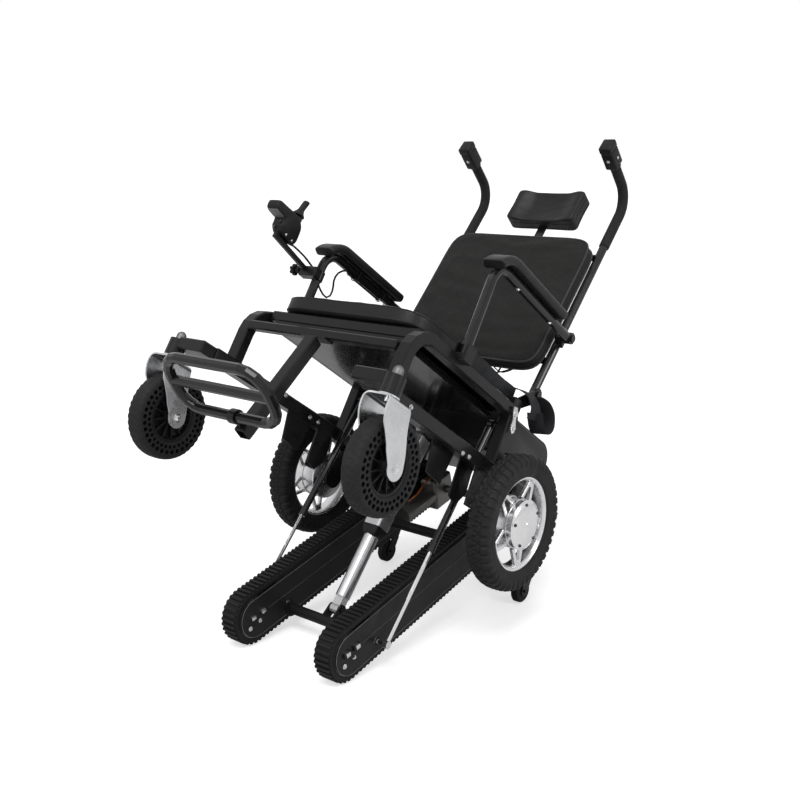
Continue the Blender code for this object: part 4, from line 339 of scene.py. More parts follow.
ALLOY = metal("wheel_alloy", (0.86, 0.86, 0.875), 0.26)
DOME = metal("hub_dome", (0.9, 0.9, 0.91), 0.2, (1.0, 4.0, 4.0), 0.9)
ZINC = metal("bright_zinc", (0.74, 0.745, 0.76), 0.27, (1.0, 1.0, 0.1))
CHROME = metal("chrome", (0.86, 0.86, 0.87), 0.1)
ANODISED = metal("anodised", (0.66, 0.66, 0.675), 0.36, (1.0, 1.0, 0.05), 0.92)
CAST = metal("cast_grey", (0.2, 0.195, 0.19), 0.5)
DARK_METAL = metal("dark_metal", (0.1, 0.1, 0.105), 0.38)


# Shapes
def skin(rings, closed=False, capped=True):
    """Faces between rings of points, joined end to end when closed."""
    shape = bmesh.new()
    made = [[shape.verts.new(point) for point in ring] for ring in rings]
    count = len(rings[0])
    last = len(made) if closed else len(made) - 1
    for index in range(last):
        one = made[index]
        two = made[(index + 1) % len(made)]
        for step in range(count):
            after = (step + 1) % count
            shape.faces.new((one[step], one[after], two[after], two[step]))
    if capped and not closed:
        shape.faces.new(made[0])
        shape.faces.new(made[-1])
    return shape


def merged(*shapes):
    whole = bmesh.new()
    for shape in shapes:
        mesh = bpy.data.meshes.new("merge")
        shape.to_mesh(mesh)
        shape.free()
        whole.from_mesh(mesh)
        bpy.data.meshes.remove(mesh)
    return whole


def moved(shape, matrix):
    bmesh.ops.transform(shape, matrix=matrix, verts=shape.verts)
    return shape


def on_circle(along, radius, angle):
    """A point at a distance along X, on a circle about it."""
    return Vector((along, radius * math.cos(angle), radius * math.sin(angle)))


def both_ways(half):
    """A profile of (along, size) and its mirror image, with a middle point only once."""
    return [*half, *((-along, size) for along, size in reversed(half) if along)]


def headings(points, closed=False):
    """The direction of travel at each point of a line."""
    found = []
    count = len(points)
    for index, point in enumerate(points):
        before = points[index - 1] if index or closed else point
        after = points[(index + 1) % count] if index < count - 1 or closed else point
        found.append((after - before).normalized())
    return found


def lathe(profile, sides=48, centre=(0.0, 0.0, 0.0), closed=False):
    """Turn points of (along, radius) about X, with flat caps where it isn't closed."""
    return skin([[on_circle(along, radius, math.tau * step / sides) + Vector(centre)
        for step in range(sides)] for along, radius in profile], closed)


def turned(profile, start, end, sides=24):
    """A lathe whose axis runs from one point towards another."""
    turn = (Vector(end) - Vector(start)).to_track_quat("X", "Z").to_matrix().to_4x4()
    return moved(lathe(profile, sides), Matrix.Translation(Vector(start)) @ turn)


def rod(start, end, radius, sides=24, edge=0.0008):
    """A round bar with softened ends."""
    length = (Vector(end) - Vector(start)).length
    profile = [(0.0, radius - edge), (edge, radius), (length - edge, radius),
        (length, radius - edge)]
    return turned(profile, start, end, sides)


def rounded(points, radius, steps):
    """Replace each inner corner of a line of points by an arc."""
    line = [points[0]]
    for before, corner, after in zip(points, points[1:], points[2:]):
        before = (before - corner).normalized()
        after = (after - corner).normalized()
        half = before.angle(after) / 2
        reach = radius / math.tan(half)
        middle = corner + (before + after).normalized() * radius / math.sin(half)
        first = corner + before * reach - middle
        last = corner + after * reach - middle
        sweep = first.angle(last)
        normal = first.cross(last).normalized()
        for step in range(steps + 1):
            line.append(middle + Matrix.Rotation(sweep * step / steps, 3, normal) @ first)
    return line + [points[-1]]


def smooth_line(points, spacing):
    """Points every so far along a smooth curve through the given ones."""
    knots = [Vector(point) for point in points]
    fine = []
    for index in range(len(knots) - 1):
        before = knots[max(index - 1, 0)]
        start = knots[index]
        end = knots[index + 1]
        after = knots[min(index + 2, len(knots) - 1)]
        for step in range(20):
            t = step / 20
            fine.append(0.5 * (2 * start + (end - before) * t + (2 * before - 5 * start + 4 * end
                - after) * t * t + (3 * start - before - 3 * end + after) * t * t * t))
    fine.append(knots[-1])
    total = sum((two - one).length for one, two in zip(fine, fine[1:]))
    count = max(2, round(total / spacing))
    route = [fine[0]]
    walked = 0.0
    for one, two in zip(fine, fine[1:]):
        step = (two - one).length
        while len(route) < count and walked + step >= total * len(route) / count:
            route.append(one.lerp(two, (total * len(route) / count - walked) / step))
        walked += step
    route.append(fine[-1])
    return route


def tube(points, radius, sides=20, closed=False, side=None, sizes=None):
    """Carry a ring along a line of points. Sizes scale it along the line."""
    points = [Vector(point) for point in points]
    turns = [math.tau * step / sides for step in range(sides)]
    rings = []
    across = None
    for index, (point, ahead) in enumerate(zip(points, headings(points, closed))):
        if side is not None:
            across = Vector(side)
        elif across is None:
            across = ahead.orthogonal()
        across = (across - ahead * across.dot(ahead)).normalized()
        out = ahead.cross(across)
        size = radius * (sizes[index] if sizes else 1.0)
        rings.append([point + across * size * math.cos(angle) + out * size * math.sin(angle)
            for angle in turns])
    return skin(rings, closed)


def sweep(points, section, sizes):
    """Carry a section of (side, out) points along a flat line. Sizes scale it along."""
    rings = []
    for point, ahead, share in zip(points, headings(points), sizes):
        out = LEFT.cross(ahead)
        rings.append([point + LEFT * a * share + out * b * share for a, b in section])
    return skin(rings)


def rounded_section(width, height, corner, steps=4):
    """A rectangle with round corners, as (side, out) points."""
    points = []
    for quarter, (x, y) in enumerate(((1, 1), (-1, 1), (-1, -1), (1, -1))):
        centre = (x * (width / 2 - corner), y * (height / 2 - corner))
        for step in range(steps + 1):
            angle = math.pi / 2 * (quarter + step / steps)
            points.append((centre[0] + corner * math.cos(angle), centre[1]
                + corner * math.sin(angle)))
    return points


def box(size, centre, turn=0.0, bevel=0.0015, segments=2):
    shape = bmesh.new()
    bmesh.ops.create_cube(shape, size=1.0)
    bmesh.ops.scale(shape, vec=Vector(size), verts=shape.verts)
    if bevel:
        bmesh.ops.bevel(shape, geom=shape.edges[:], offset=bevel, segments=segments, profile=0.5,
            affect="EDGES")
    return moved(shape, Matrix.Translation(Vector(centre)) @ Matrix.Rotation(turn, 4, "X"))


def slab(outline, low, high, bevel=0.001, segments=2):
    """Extrude an outline of (ahead, up) across the chair, with softened rims."""
    rings = [[at(ahead, up, reach) for ahead, up in outline] for reach in (low, high)]
    shape = skin(rings)
    if bevel:
        ends = [face for face in shape.faces if len(face.verts) == len(outline)]
        edges = list({edge for face in ends for edge in face.edges})
        bmesh.ops.bevel(shape, geom=edges, offset=bevel, segments=segments, profile=0.5,
            affect="EDGES", clamp_overlap=True)
    return shape


def arc(centre, radius, start, end, steps):
    """Points of an arc between two angles in degrees."""
    turns = [math.radians(start + (end - start) * step / steps) for step in range(steps + 1)]
    return [(centre[0] + radius * math.cos(angle), centre[1] + radius * math.sin(angle))
        for angle in turns]


def bolt(centre, out, radius=0.005, height=0.004, sides=6):
    """A hexagon or round head on a washer, standing out along a direction."""
    out = Vector(out).normalized()
    centre = Vector(centre)
    washer = rod(centre, centre + out * 0.0012, radius * 1.45, 20, 0.0003)
    head = turned([(0.0, radius), (height * 0.7, radius), (height * 0.92, radius * 0.86),
        (height, radius * 0.6)], centre + out * 0.001, centre + out, sides)
    return merged(washer, head)


def put(name, shape, turn, body, material, crease=35.0, replaces=()):
    """Make a piece from a shape in one of the frames, riding on a body."""
    bmesh.ops.recalc_face_normals(shape, faces=shape.faces)
    mesh = bpy.data.meshes.new(name)
    moved(shape, turn).to_mesh(mesh)
    shape.free()
    mesh.shade_smooth()
    mesh.set_sharp_from_angle(angle=math.radians(crease))
    mesh.materials.append(material)
    piece = linked(name, mesh)
    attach(piece, body)
    if replaces:
        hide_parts(*replaces)
    return piece


# The joystick's lead, whose points are those of the CAD model
CABLE_RADIUS = 0.0025
CABLE_SPACING = 0.0125
CABLE_GAP = 0.0006
CABLE_ROUTE = (
    (0.4212, 0.5993, -0.025), (0.406, 0.5992, -0.025), (0.3892, 0.5985, -0.025),
    (0.3677, 0.5965, -0.025), (0.348, 0.5925, -0.0248), (0.332, 0.5882, -0.024),
    (0.319, 0.5785, -0.0226), (0.306, 0.5665, -0.02), (0.2946, 0.557, -0.017),
    (0.282, 0.547, -0.013), (0.2715, 0.5412, -0.008), (0.262, 0.543, -0.0045),
    (0.259, 0.555, -0.002), (0.2631, 0.5699, 0.0), (0.2706, 0.5885, 0.0),
    (0.269, 0.6065, 0.001), (0.262, 0.619, 0.006), (0.252, 0.6262, 0.0085),
    (0.2403, 0.6258, 0.005),
)
CABLE_UNDER_ARM = (0.205, 0.17, 0.13, 0.09)
CABLE_BELOW = ARM_TUBE + CABLE_RADIUS + CABLE_GAP


def arm_height(ahead):
    """Height of the arm tube's middle line at a distance ahead of the rear axle."""
    return ARM_PIVOT[1] - ARM_DROP * (ahead - ARM_PIVOT[0]) / (ARM_POST - ARM_PIVOT[0])


def lead():
    points = [at(ahead, up, side - ARM_X) for ahead, up, side in CABLE_ROUTE]
    for ahead in CABLE_UNDER_ARM:
        points.append(at(ahead, arm_height(ahead) - CABLE_BELOW, -ARM_X))
    route = [CHAIR @ point for point in smooth_line(points, CABLE_SPACING)]
    curve = bpy.data.curves.new("joystick_lead", "CURVE")
    curve.dimensions = "3D"
    curve.bevel_depth = CABLE_RADIUS
    curve.bevel_resolution = 4
    curve.use_fill_caps = True
    spline = curve.splines.new("POLY")
    spline.points.add(len(route) - 1)
    for target, point in zip(spline.points, route):
        target.co = (*point, 1.0)
    curve.materials.append(CORD_RUBBER)
    piece = linked("joystick_lead", curve)
    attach(piece, "armrest_right")
    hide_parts("controller_cable")


lead()


# Soft goods
UPRIGHT = Matrix.Rotation(math.tau / 4, 4, "X")
PAD_GAP = 0.0005
FLAT = Vector((0.0, 0.0, 0.0))


def pillow_point(x, y, z, size, crown, draw, power, wings=0.0):
    """Where a point of a cube from -1 to 1 goes on a stuffed block."""
    reach = max(abs(x), abs(y), abs(z))
    norm = (abs(x) ** power + abs(y) ** power + abs(z) ** power) ** (1.0 / power)
    x, y, z = (value * reach / norm for value in (x, y, z))
    swell = (1.0 - x * x) * (1.0 - y * y)
    across = x * size[0] / 2 * (1.0 - draw * (1.0 - y * y))
    along = y * size[1] / 2 * (1.0 - draw * (1.0 - x * x))
    height = z * size[2] / 2
    if z > 0.0:
        height += z * (crown * swell + wings * x * x)
    return Vector((across, along, height))


def pillow(size, crown, draw, power, cuts, wings=0.0, folds=None):
    """A stuffed block with a fine mesh. Folds give each point's extra height."""
    shape = bmesh.new()
    bmesh.ops.create_cube(shape, size=2.0)
    bmesh.ops.subdivide_edges(shape, edges=shape.edges[:], cuts=cuts, use_grid_fill=True)
    for vert in shape.verts:
        x, y, z = vert.co
        point = pillow_point(x, y, z, size, crown, draw, power, wings)
        if folds is not None:
            point += folds(x, y, z)
        vert.co = point
    floor = -size[2] / 2 + PAD_GAP
    for vert in shape.verts:
        vert.co.z = max(vert.co.z, floor)
    return shape


def seam(level, size, crown, draw, power, radius, wings=0.0, out=0.0, steps=36):
    """Piping round a stuffed block's side, at a level between -1 and 1."""
    points = []
    for corner, ahead in (((-1, -1), (1, 0)), ((1, -1), (0, 1)), ((1, 1), (-1, 0)),
            ((-1, 1), (0, -1))):
        for step in range(steps):
            share = 2.0 * step / steps
            x = corner[0] + ahead[0] * share
            y = corner[1] + ahead[1] * share
            point = pillow_point(x, y, level, size, crown, draw, power, wings)
            push = Vector((point.x, point.y, 0.0))
            points.append(point + push.normalized() * out)
    return tube(points, radius, 8, closed=True)


SEAT_SIZE = (0.41, 0.44, 0.046)
SEAT_MIDDLE = (0.24, 0.4371)
SEAT_CROWN = 0.01
SEAT_DRAW = 0.012
SEAT_POWER = 7.0


def seat_folds(x, y, z):
    """Faint creases of the hide, deepest near the front corners and the seams."""
    if z < 0.2:
        return FLAT
    ripple = noise.noise(Vector((x * 2.2, y * 1.6, 3.1)))
    crease = noise.noise(Vector((x * 9.0 + y * 3.0, y * 5.0, 7.7)))
    edge = max(abs(x), abs(y)) ** 4
    return Vector((0.0, 0.0, (0.0014 * ripple + 0.001 * crease * edge) * min(1.0, (z - 0.2) * 2)))


def seat():
    turn = CHAIR @ Matrix.Translation(at(*SEAT_MIDDLE))
    shape = pillow(SEAT_SIZE, SEAT_CROWN, SEAT_DRAW, SEAT_POWER, 44, folds=seat_folds)
    cushion = put("seat_cushion_hide", shape, turn, "frame", HIDE, 60, ["seat_cushion"])
    for number, level in enumerate((0.62, -0.58)):
        shape = seam(level, SEAT_SIZE, SEAT_CROWN, SEAT_DRAW, SEAT_POWER, 0.0013, out=0.0001)
        put("seat_piping_%d" % number, shape, turn, "frame", HIDE, 60)


BACK_SIZE = (0.43, 0.4, 0.044)
BACK_CROWN = 0.007
BACK_POWER = 9.0
BACK_AHEAD = 0.0113
BACK_MIDDLE = 0.253
BACK_DRAW = 0.012


def back_folds(x, y, z):
    """Fine creases of a loose cover that pull towards the cushion's sides and foot."""
    if z < 0.0:
        return FLAT
    bend = 0.5 * math.sin(2.0 * x + 1.0)
    long_fold = noise.noise(Vector((x * 1.6, (y + bend * 0.25) * 7.0, 1.3)))
    cross = noise.noise(Vector((x * 6.0 - y * 3.5, y * 3.0, 5.9)))
    fine = noise.noise(Vector((x * 14.0, y * 21.0, 9.0)))
    sharp = math.copysign(abs(long_fold) ** 0.8, long_fold)
    lift = 0.003 * sharp + 0.0014 * cross + 0.0005 * fine
    return Vector((0.0, 0.0, lift * min(1.0, z * 1.6)))


def backrest():
    rest = -BACK_SIZE[2] / 2 + PAD_GAP
    turn = BACK @ Matrix.Translation(at(BACK_AHEAD - rest, BACK_MIDDLE)) @ UPRIGHT
    shape = pillow(BACK_SIZE, BACK_CROWN, BACK_DRAW, BACK_POWER, 60, folds=back_folds)
    cushion = put("backrest_cover", shape, turn, "backrest", CLOTH, 60,
        ["backrest_cushion"])
    for number, level in enumerate((0.72, -0.7)):
        shape = seam(level, BACK_SIZE, BACK_CROWN, BACK_DRAW, BACK_POWER, 0.0026, out=0.001,
            steps=44)
        put("backrest_piping_%d" % number, shape, turn, "backrest", PIPING, 60)
    strings = []
    for side in (-1, 1):
        for start, end, sag in ((0.06, 0.165, 0.013), (0.15, 0.02, 0.017)):
            points = [at(0.004, 0.074, side * start), at(0.006, 0.06 - sag,
                side * (start + end) / 2), at(0.004, 0.088, side * end)]
            strings.append(tube(smooth_line(points, 0.006), 0.0016, 10))
        strings.append(tube(smooth_line([at(0.006, 0.066, side * 0.1),
            at(0.01, 0.052, side * 0.103), at(0.009, 0.04, side * 0.1)], 0.004), 0.0022, 10))
    put("backrest_ties", merged(*strings), BACK, "backrest", WEBBING)


HEAD_SIZE = (0.212, 0.107, 0.04)
HEAD_HEIGHT = 0.586


def headrest():
    rest = -HEAD_SIZE[2] / 2 + PAD_GAP
    turn = BACK @ Matrix.Translation(at(-HEAD_SIZE[2] / 2 - rest, HEAD_HEIGHT)) @ UPRIGHT

    def folds(x, y, z):
        if z < 0.3:
            return FLAT
        crest = 0.0075 * smoothstep((abs(x) - 0.42) / 0.46)
        ripple = 0.0006 * noise.noise(Vector((x * 3.0, y * 4.0, 2.0)))
        return Vector((0.0, 0.0, (ripple + crest) * min(1.0, (z - 0.3) * 2)))

    shape = pillow(HEAD_SIZE, -0.008, 0.03, 11.0, 48, 0.004, folds)
    pad = put("headrest_hide", shape, turn, "headrest", HIDE, 60, ["headrest_pad"])
    for number, level in enumerate((0.3, -0.6)):
        shape = seam(level, HEAD_SIZE, -0.006, 0.03, 9.0, 0.0012, 0.004, 0.0002, 30)
        put("headrest_piping_%d" % number, shape, turn, "headrest", PAD_HIDE, 60)


PAD_REAR = 0.03
PAD_WIDTH = 0.058
PAD_THICK = 0.022
PAD_WRAP = 0.66
PAD_CORNER = 0.0085


def arm_line():
    return [at(ARM_PIVOT[0], ARM_PIVOT[1]), at(ARM_POST, ARM_PIVOT[1] - ARM_DROP),
        at(ARM_POST, 0.4158)]


def arm_pad(side, word):
    """The pad on top of the arm tube, wrapping round part of its front bend."""
    line = arm_line()
    back = (line[0] - line[1]).normalized()
    down = (line[2] - line[1]).normalized()
    half = back.angle(down) / 2
    centre = line[1] + (back + down).normalized() * ARM_BEND / math.sin(half)
    lift = ARM_TUBE + PAD_THICK / 2 + 0.0006
    normal = LEFT.cross(back)
    first = normal * (ARM_BEND + lift)
    sweep_angle = (math.pi - back.angle(down)) * PAD_WRAP
    rear = line[0] + back * (ARM_PIVOT[0] - PAD_REAR) + normal * lift
    points = [rear.lerp(centre + first, step / 18) for step in range(19)]
    points += [centre + Matrix.Rotation(sweep_angle * step / 12, 3, "X") @ first
        for step in range(1, 13)]
    points = [point + Vector((side * ARM_X, 0.0, 0.0)) for point in points]
    points = [points[0], points[0].lerp(points[1], 0.06), points[0].lerp(points[1],
        0.2)] + points[1:]
    points = points[:-1] + [points[-2].lerp(points[-1], 0.75), points[-2].lerp(points[-1], 0.93),
        points[-1]]
    sizes = [0.86, 0.96, 1.0] + [1.0] * (len(points) - 6) + [1.0, 0.96, 0.86]
    pad = put("arm_pad_" + word, sweep(points, rounded_section(PAD_WIDTH, PAD_THICK, PAD_CORNER,
        5), sizes), CHAIR, "armrest_" + word, PAD_HIDE, 50, ["armrest_pad_" + word])
    heads = [bolt(at(ahead, arm_height(ahead) - ARM_TUBE + 0.0006, side * (ARM_X + 0.004)),
        (0, 0, -1), 0.0036, 0.003, 20) for ahead in (0.227, 0.058)]
    put("arm_screws_" + word, merged(*heads), CHAIR, "armrest_" + word, ZINC)


def band(points, width, across, thick=0.0016):
    """Flat webbing along a line, with its width along a direction."""
    across = Vector(across).normalized()
    rings = []
    for point, ahead in zip(points, headings(points)):
        a = across * width / 2
        b = across.cross(ahead).normalized() * thick / 2
        rings.append([point + a + b * 0.4, point + a * 0.97 + b, point - a * 0.97 + b,
            point - a + b * 0.4, point - a - b * 0.4, point - a * 0.97 - b, point + a * 0.97 - b,
            point + a - b * 0.4])
    return skin(rings)


def lap_belt():
    """Webbing beside the cushion, wrapped over the rail's end and hanging in a loop."""
    flat = [at(ahead, 0.4394 + 0.0012 * math.sin(ahead * 40), 0.2085
        + 0.0008 * math.sin(ahead * 55)) for ahead in [0.27 - 0.012 * step for step in range(21)]]
    put("lap_belt", band(flat, 0.048, (0, 0, 1)), CHAIR, "frame", WEBBING, 50,
        ["seat_belt"])
    wrap = [at(0.058, 0.456, 0.218), at(0.04, 0.46, 0.23), at(0.016, 0.456, 0.248),
        at(0.004, 0.438, 0.26), at(0.0, 0.42, 0.264), at(0.004, 0.404, 0.261)]
    over = band(smooth_line(wrap, 0.005), 0.046, (0, 1, 0.25))
    flap = [at(-0.006, 0.464, 0.244), at(-0.026, 0.46, 0.256), at(-0.052, 0.444, 0.262),
        at(-0.068, 0.416, 0.264), at(-0.062, 0.396, 0.264), at(-0.044, 0.39, 0.262),
        at(-0.026, 0.404, 0.259), at(-0.01, 0.426, 0.256)]
    loop = band(smooth_line(flap, 0.005), 0.042, (1, 0, 0.1))
    tail = [at(0.25, 0.46, 0.211), at(0.258, 0.462, 0.215)]
    put("lap_belt_loop", merged(loop, over, band(tail, 0.03, (0, 0, 1))), CHAIR, "frame", WEBBING,
        50)
    plate = slab([(0.08, 0.404), (0.062, 0.408), (0.046, 0.384), (0.044, 0.352), (0.052, 0.346),
        (0.06, 0.352), (0.064, 0.38)], 0.2515, 0.254, 0.0006)
    put("lap_belt_bracket", merged(plate, bolt(at(0.062, 0.392, 0.254), (1, 0, 0), 0.0052, 0.004),
        bolt(at(0.052, 0.36, 0.254), (1, 0, 0), 0.004, 0.003)), CHAIR, "frame", CHROME)


# Push grips
GRIP_RADIUS = 0.0135
GRIP_START = 0.467
GRIP_CORNER = 0.6354
GRIP_BEND = 0.0626
GRIP_REACH = 0.119
GRIP_RISE = math.radians(3.4)
GRIP_BOX = (0.033, 0.073, 0.039)
BACK_TUBE_X = 0.2178


def grip(side, word):
    x = side * BACK_TUBE_X
    corner = at(0.0, GRIP_CORNER, x)
    ahead = at(math.cos(GRIP_RISE), math.sin(GRIP_RISE))
    end = corner + ahead * GRIP_REACH
    line = rounded([at(0.0, GRIP_START, x), corner, end], GRIP_BEND, 20)
    start = line[0]
    line = ([start, start + at(0, 0.0012), start + at(0, 0.004)] + [line[0].lerp(line[1], share)
        for share in (0.2, 0.4, 0.6, 0.8)] + line[1:])
    sizes = [0.88, 0.97, 1.0] + [1.0] * (len(line) - 3)
    put("grip_foam_" + word, tube(line, GRIP_RADIUS, 28, side=LEFT, sizes=sizes), BACK, "backrest",
        FOAM, 60, ["push_grip_" + word])
    centre = end + ahead * (GRIP_BOX[1] / 2 - 0.002)
    case = box((GRIP_BOX[0], GRIP_BOX[1] - 0.02, GRIP_BOX[2]), centre - ahead * 0.009, -GRIP_RISE,
        0.005, 4)
    collar = turned([(0, 0.015), (0.002, 0.0162), (0.009, 0.0162), (0.011, 0.015)],
        end - ahead * 0.006, end + ahead * 0.01, 28)
    put("grip_case_" + word, merged(case, collar), BACK, "backrest", MOULDED)
    cap = box((GRIP_BOX[0] + 0.001, 0.02, GRIP_BOX[2] + 0.001), centre + ahead * 0.0262,
        -GRIP_RISE, 0.0045, 4)
    put("grip_cap_" + word, cap, BACK, "backrest", MOULDED)
    low = centre - ahead * 0.006 + at(-math.sin(GRIP_RISE),
        math.cos(GRIP_RISE)) * (-GRIP_BOX[2] / 2)
    put("grip_screw_" + word, merged(bolt(low, (0, 0, -1), 0.003, 0.002, 20),
        bolt(centre + Vector((side * GRIP_BOX[0] / 2, 0.01, 0.0)), (side, 0, 0), 0.0026, 0.0015,
        20)), BACK, "backrest", ZINC)


# Joystick box, its stick and clamp
CONTROL_X = -0.275
CONTROL_HALF = 0.019
STICK = (0.443, 0.652)


def control_outline():
    """The box from the side: deep at the back, with a thin nose ahead."""
    corners = [(0.52, 0.6615), (0.5275, 0.6575), (0.5275, 0.644), (0.521, 0.6392), (0.496, 0.6352),
        (0.4912, 0.627), (0.4895, 0.612), (0.476, 0.5992), (0.456, 0.5957), (0.438, 0.593),
        (0.429, 0.599), (0.4268, 0.615), (0.429, 0.639), (0.44, 0.653), (0.456, 0.6608)]
    line = smooth_line([(0.0, a, b) for a, b in corners + corners[:1]], 0.003)
    return [(point.y, point.z) for point in line[:-1]]


def control_box():
    def add(name, shape, material, slot="black_plastic", crease=35.0, replaces=()):
        put("joystick_" + name, shape, CHAIR, "armrest_right", material, crease, replaces)

    outline = control_outline()
    middle = [sum(point[axis] for point in outline) / len(outline) for axis in (0, 1)]
    rings = []
    for reach, inset in both_ways(((-1.0, 0.005), (-0.93, 0.0022), (-0.8, 0.0006), (-0.55, 0.0))):
        ring = []
        for ahead, up in outline:
            away = Vector((ahead - middle[0], up - middle[1]))
            away -= away.normalized() * inset
            ring.append(at(middle[0] + away.x, middle[1] + away.y,
                CONTROL_X + reach * CONTROL_HALF))
        rings.append(ring)
    add("box", skin(rings), MOULDED, crease=45, replaces=["controller_body"])
    base = at(STICK[0], 0.65, CONTROL_X)
    add("ring", turned([(0.0, 0.0148), (0.01, 0.015), (0.0125, 0.014), (0.015, 0.0126),
        (0.015, 0.011), (0.002, 0.0108)], base, base + at(0, 1), 40), CASE)
    add("gland", turned([(0.0, 0.0052), (0.004, 0.0056), (0.008, 0.0048), (0.0105, 0.004),
        (0.0108, 0.0034), (0.0128, 0.0039), (0.0132, 0.0032), (0.015, 0.0036), (0.0153, 0.0029)],
        at(0.436, 0.5993, CONTROL_X), at(0.42, 0.5993, CONTROL_X)), CORD_RUBBER)
    add("strip", slab([(0.5215, 0.6388), (0.5195, 0.6362), (0.495, 0.6322), (0.4935, 0.635)],
        CONTROL_X - 0.0165, CONTROL_X + 0.0165, 0.0006), GREY_PLASTIC)
    add("sockets", merged(*(rod(at(ahead, up, CONTROL_X + x), at(end, high, CONTROL_X + x), radius)
        for ahead, up, end, high, x, radius in ((0.486, 0.622, 0.4965, 0.6245, 0.008, 0.0052),
        (0.484, 0.608, 0.492, 0.6095, -0.007, 0.0042)))), DARK_METAL, "grey_metal")
    add("box_screws", merged(*(bolt(at(ahead, up, CONTROL_X + way * (CONTROL_HALF - 0.0012)),
        (way, 0, 0), 0.0024, 0.0014, 20) for ahead, up in ((0.468, 0.6012), (0.445, 0.5985))
        for way in (1, -1))), CHROME, "zinc")
    add("keys", merged(*(box((0.008, 0.006, 0.0016), at(ahead, 0.6618, CONTROL_X + way * 0.009), 0,
        0.0006) for ahead in (0.481, 0.491) for way in (-1, 1))), GREY_PLASTIC)


def stick():
    base = at(STICK[0], STICK[1], CONTROL_X)
    lean = math.tan(math.radians(15.0))
    profile = [(0.003, 0.0024), (0.015, 0.0026), (0.0168, 0.012), (0.0172, 0.015), (0.0142, 0.017),
        (0.0148, 0.0175), (0.0166, 0.0172), (0.0192, 0.0152), (0.0225, 0.0128), (0.027, 0.0104),
        (0.031, 0.0088), (0.034, 0.008), (0.037, 0.0079), (0.044, 0.008), (0.054, 0.0082),
        (0.059, 0.0078), (0.0606, 0.0066), (0.0612, 0.004)]
    shape = turned(profile, base, base + at(0, 1), 40)
    for vert in shape.verts:
        vert.co.y += lean * max(0.0, vert.co.z - STICK[1] - 0.0175)
    put("joystick_grip", shape, CHAIR, "joystick", CORD_RUBBER, 30, ["joystick"])


def star_knob():
    turn = frame_at(JOINTS["clamp_knob_turn"]["pos_m"], CHAIR_UP)
    rings = []
    for along, share in ((-0.0115, 0.9), (-0.0122, 0.97), (-0.015, 1.0), (-0.021, 1.0),
            (-0.0232, 0.96), (-0.024, 0.88)):
        ring = []
        for step in range(96):
            angle = math.tau * step / 96
            lobe = 0.5 + 0.5 * math.cos(6 * angle)
            ring.append(on_circle(along, (0.0102 + 0.0043 * lobe ** 0.7) * share, angle))
        rings.append(ring)
    neck = lathe([(0.0, 0.0068), (-0.0125, 0.0074)], 24)
    put("clamp_star_knob", merged(skin(rings), neck), turn, "clamp_knob", MOULDED,
        30, ["clamp_knob"])


def lead_clips():
    clips = []
    for ahead in (CABLE_UNDER_ARM[0], CABLE_UNDER_ARM[-1]):
        middle = at(ahead, arm_height(ahead) - 0.0015, -ARM_X)
        ring = [middle + Vector((0.0138 * math.cos(math.tau * k / 24), 0.0,
            0.0168 * math.sin(math.tau * k / 24))) for k in range(24)]
        clips.append(tube(ring, 0.0011, 8, closed=True))
    put("lead_clips", merged(*clips), CHAIR, "armrest_right", CORD_RUBBER)


# Rear wheels
SPOKES = 5
TYRE_LUGS = 46
LUG_STEPS = 8
LUG_DEPTH = 0.0034
TYRE_HALF = 0.0289
TYRE_SIDE = ((-0.0205, 0.1083), (-0.0245, 0.1095), (-0.0266, 0.12), (-0.0274, 0.1335),
    (-0.0264, 0.143), (-0.0228, 0.1492), (-0.014, 0.153), (0.0, 0.1541))


def smoothstep(value):
    value = max(0.0, min(1.0, value))
    return value * value * (3.0 - 2.0 * value)


def lug_height(across, phase):
    """Share of the lug depth at a distance from the tread's middle, for a turn phase."""
    reach = abs(across)
    if reach > 0.0115:
        mask = smoothstep((reach - 0.0115) / 0.0015) * smoothstep((0.0405 - reach) / 0.0025)
        turn = (phase + (0.5 if across < 0 else 0.0)) % 1.0
        width = 0.6 if reach < 0.028 else 0.52
    elif reach > 0.004:
        mask = 1.0
        turn = (phase + 0.3 + (0.5 if across < 0 else 0.0)) % 1.0
        width = 0.58
    else:
        mask = 0.85
        turn = (2.0 * phase + 0.2) % 1.0
        width = 0.6
    return mask * (1.0 if turn < width else 0.0)


def rear_tyre():
    line = smooth_line([(0.0, *point) for point in both_ways(TYRE_SIDE)], 0.003)
    total = sum((two - one).length for one, two in zip(line, line[1:]))
    walked = 0.0
    profile = []
    for index, (point, ahead) in enumerate(zip(line, headings(line))):
        if index:
            walked += (point - line[index - 1]).length
        profile.append((point.y, point.z, walked - total / 2, -ahead.z, ahead.y))
    inner = [(0.0205, 0.1083, 1.0, 0.0, 0.0), (-0.0205, 0.1083, 1.0, 0.0, 0.0)]
    rings = []
    steps = TYRE_LUGS * LUG_STEPS
    for step in range(steps):
        angle = math.tau * step / steps
        ring = []
        for along, radius, across, out_along, out_radius in profile + inner:
            lift = LUG_DEPTH * lug_height(across, step / LUG_STEPS)
            radius += lift * out_radius
            along = max(-TYRE_HALF, min(TYRE_HALF, along + 0.8 * lift * out_along))
            ring.append(on_circle(along, radius, angle))
        rings.append(ring)
    return skin(rings, closed=True)


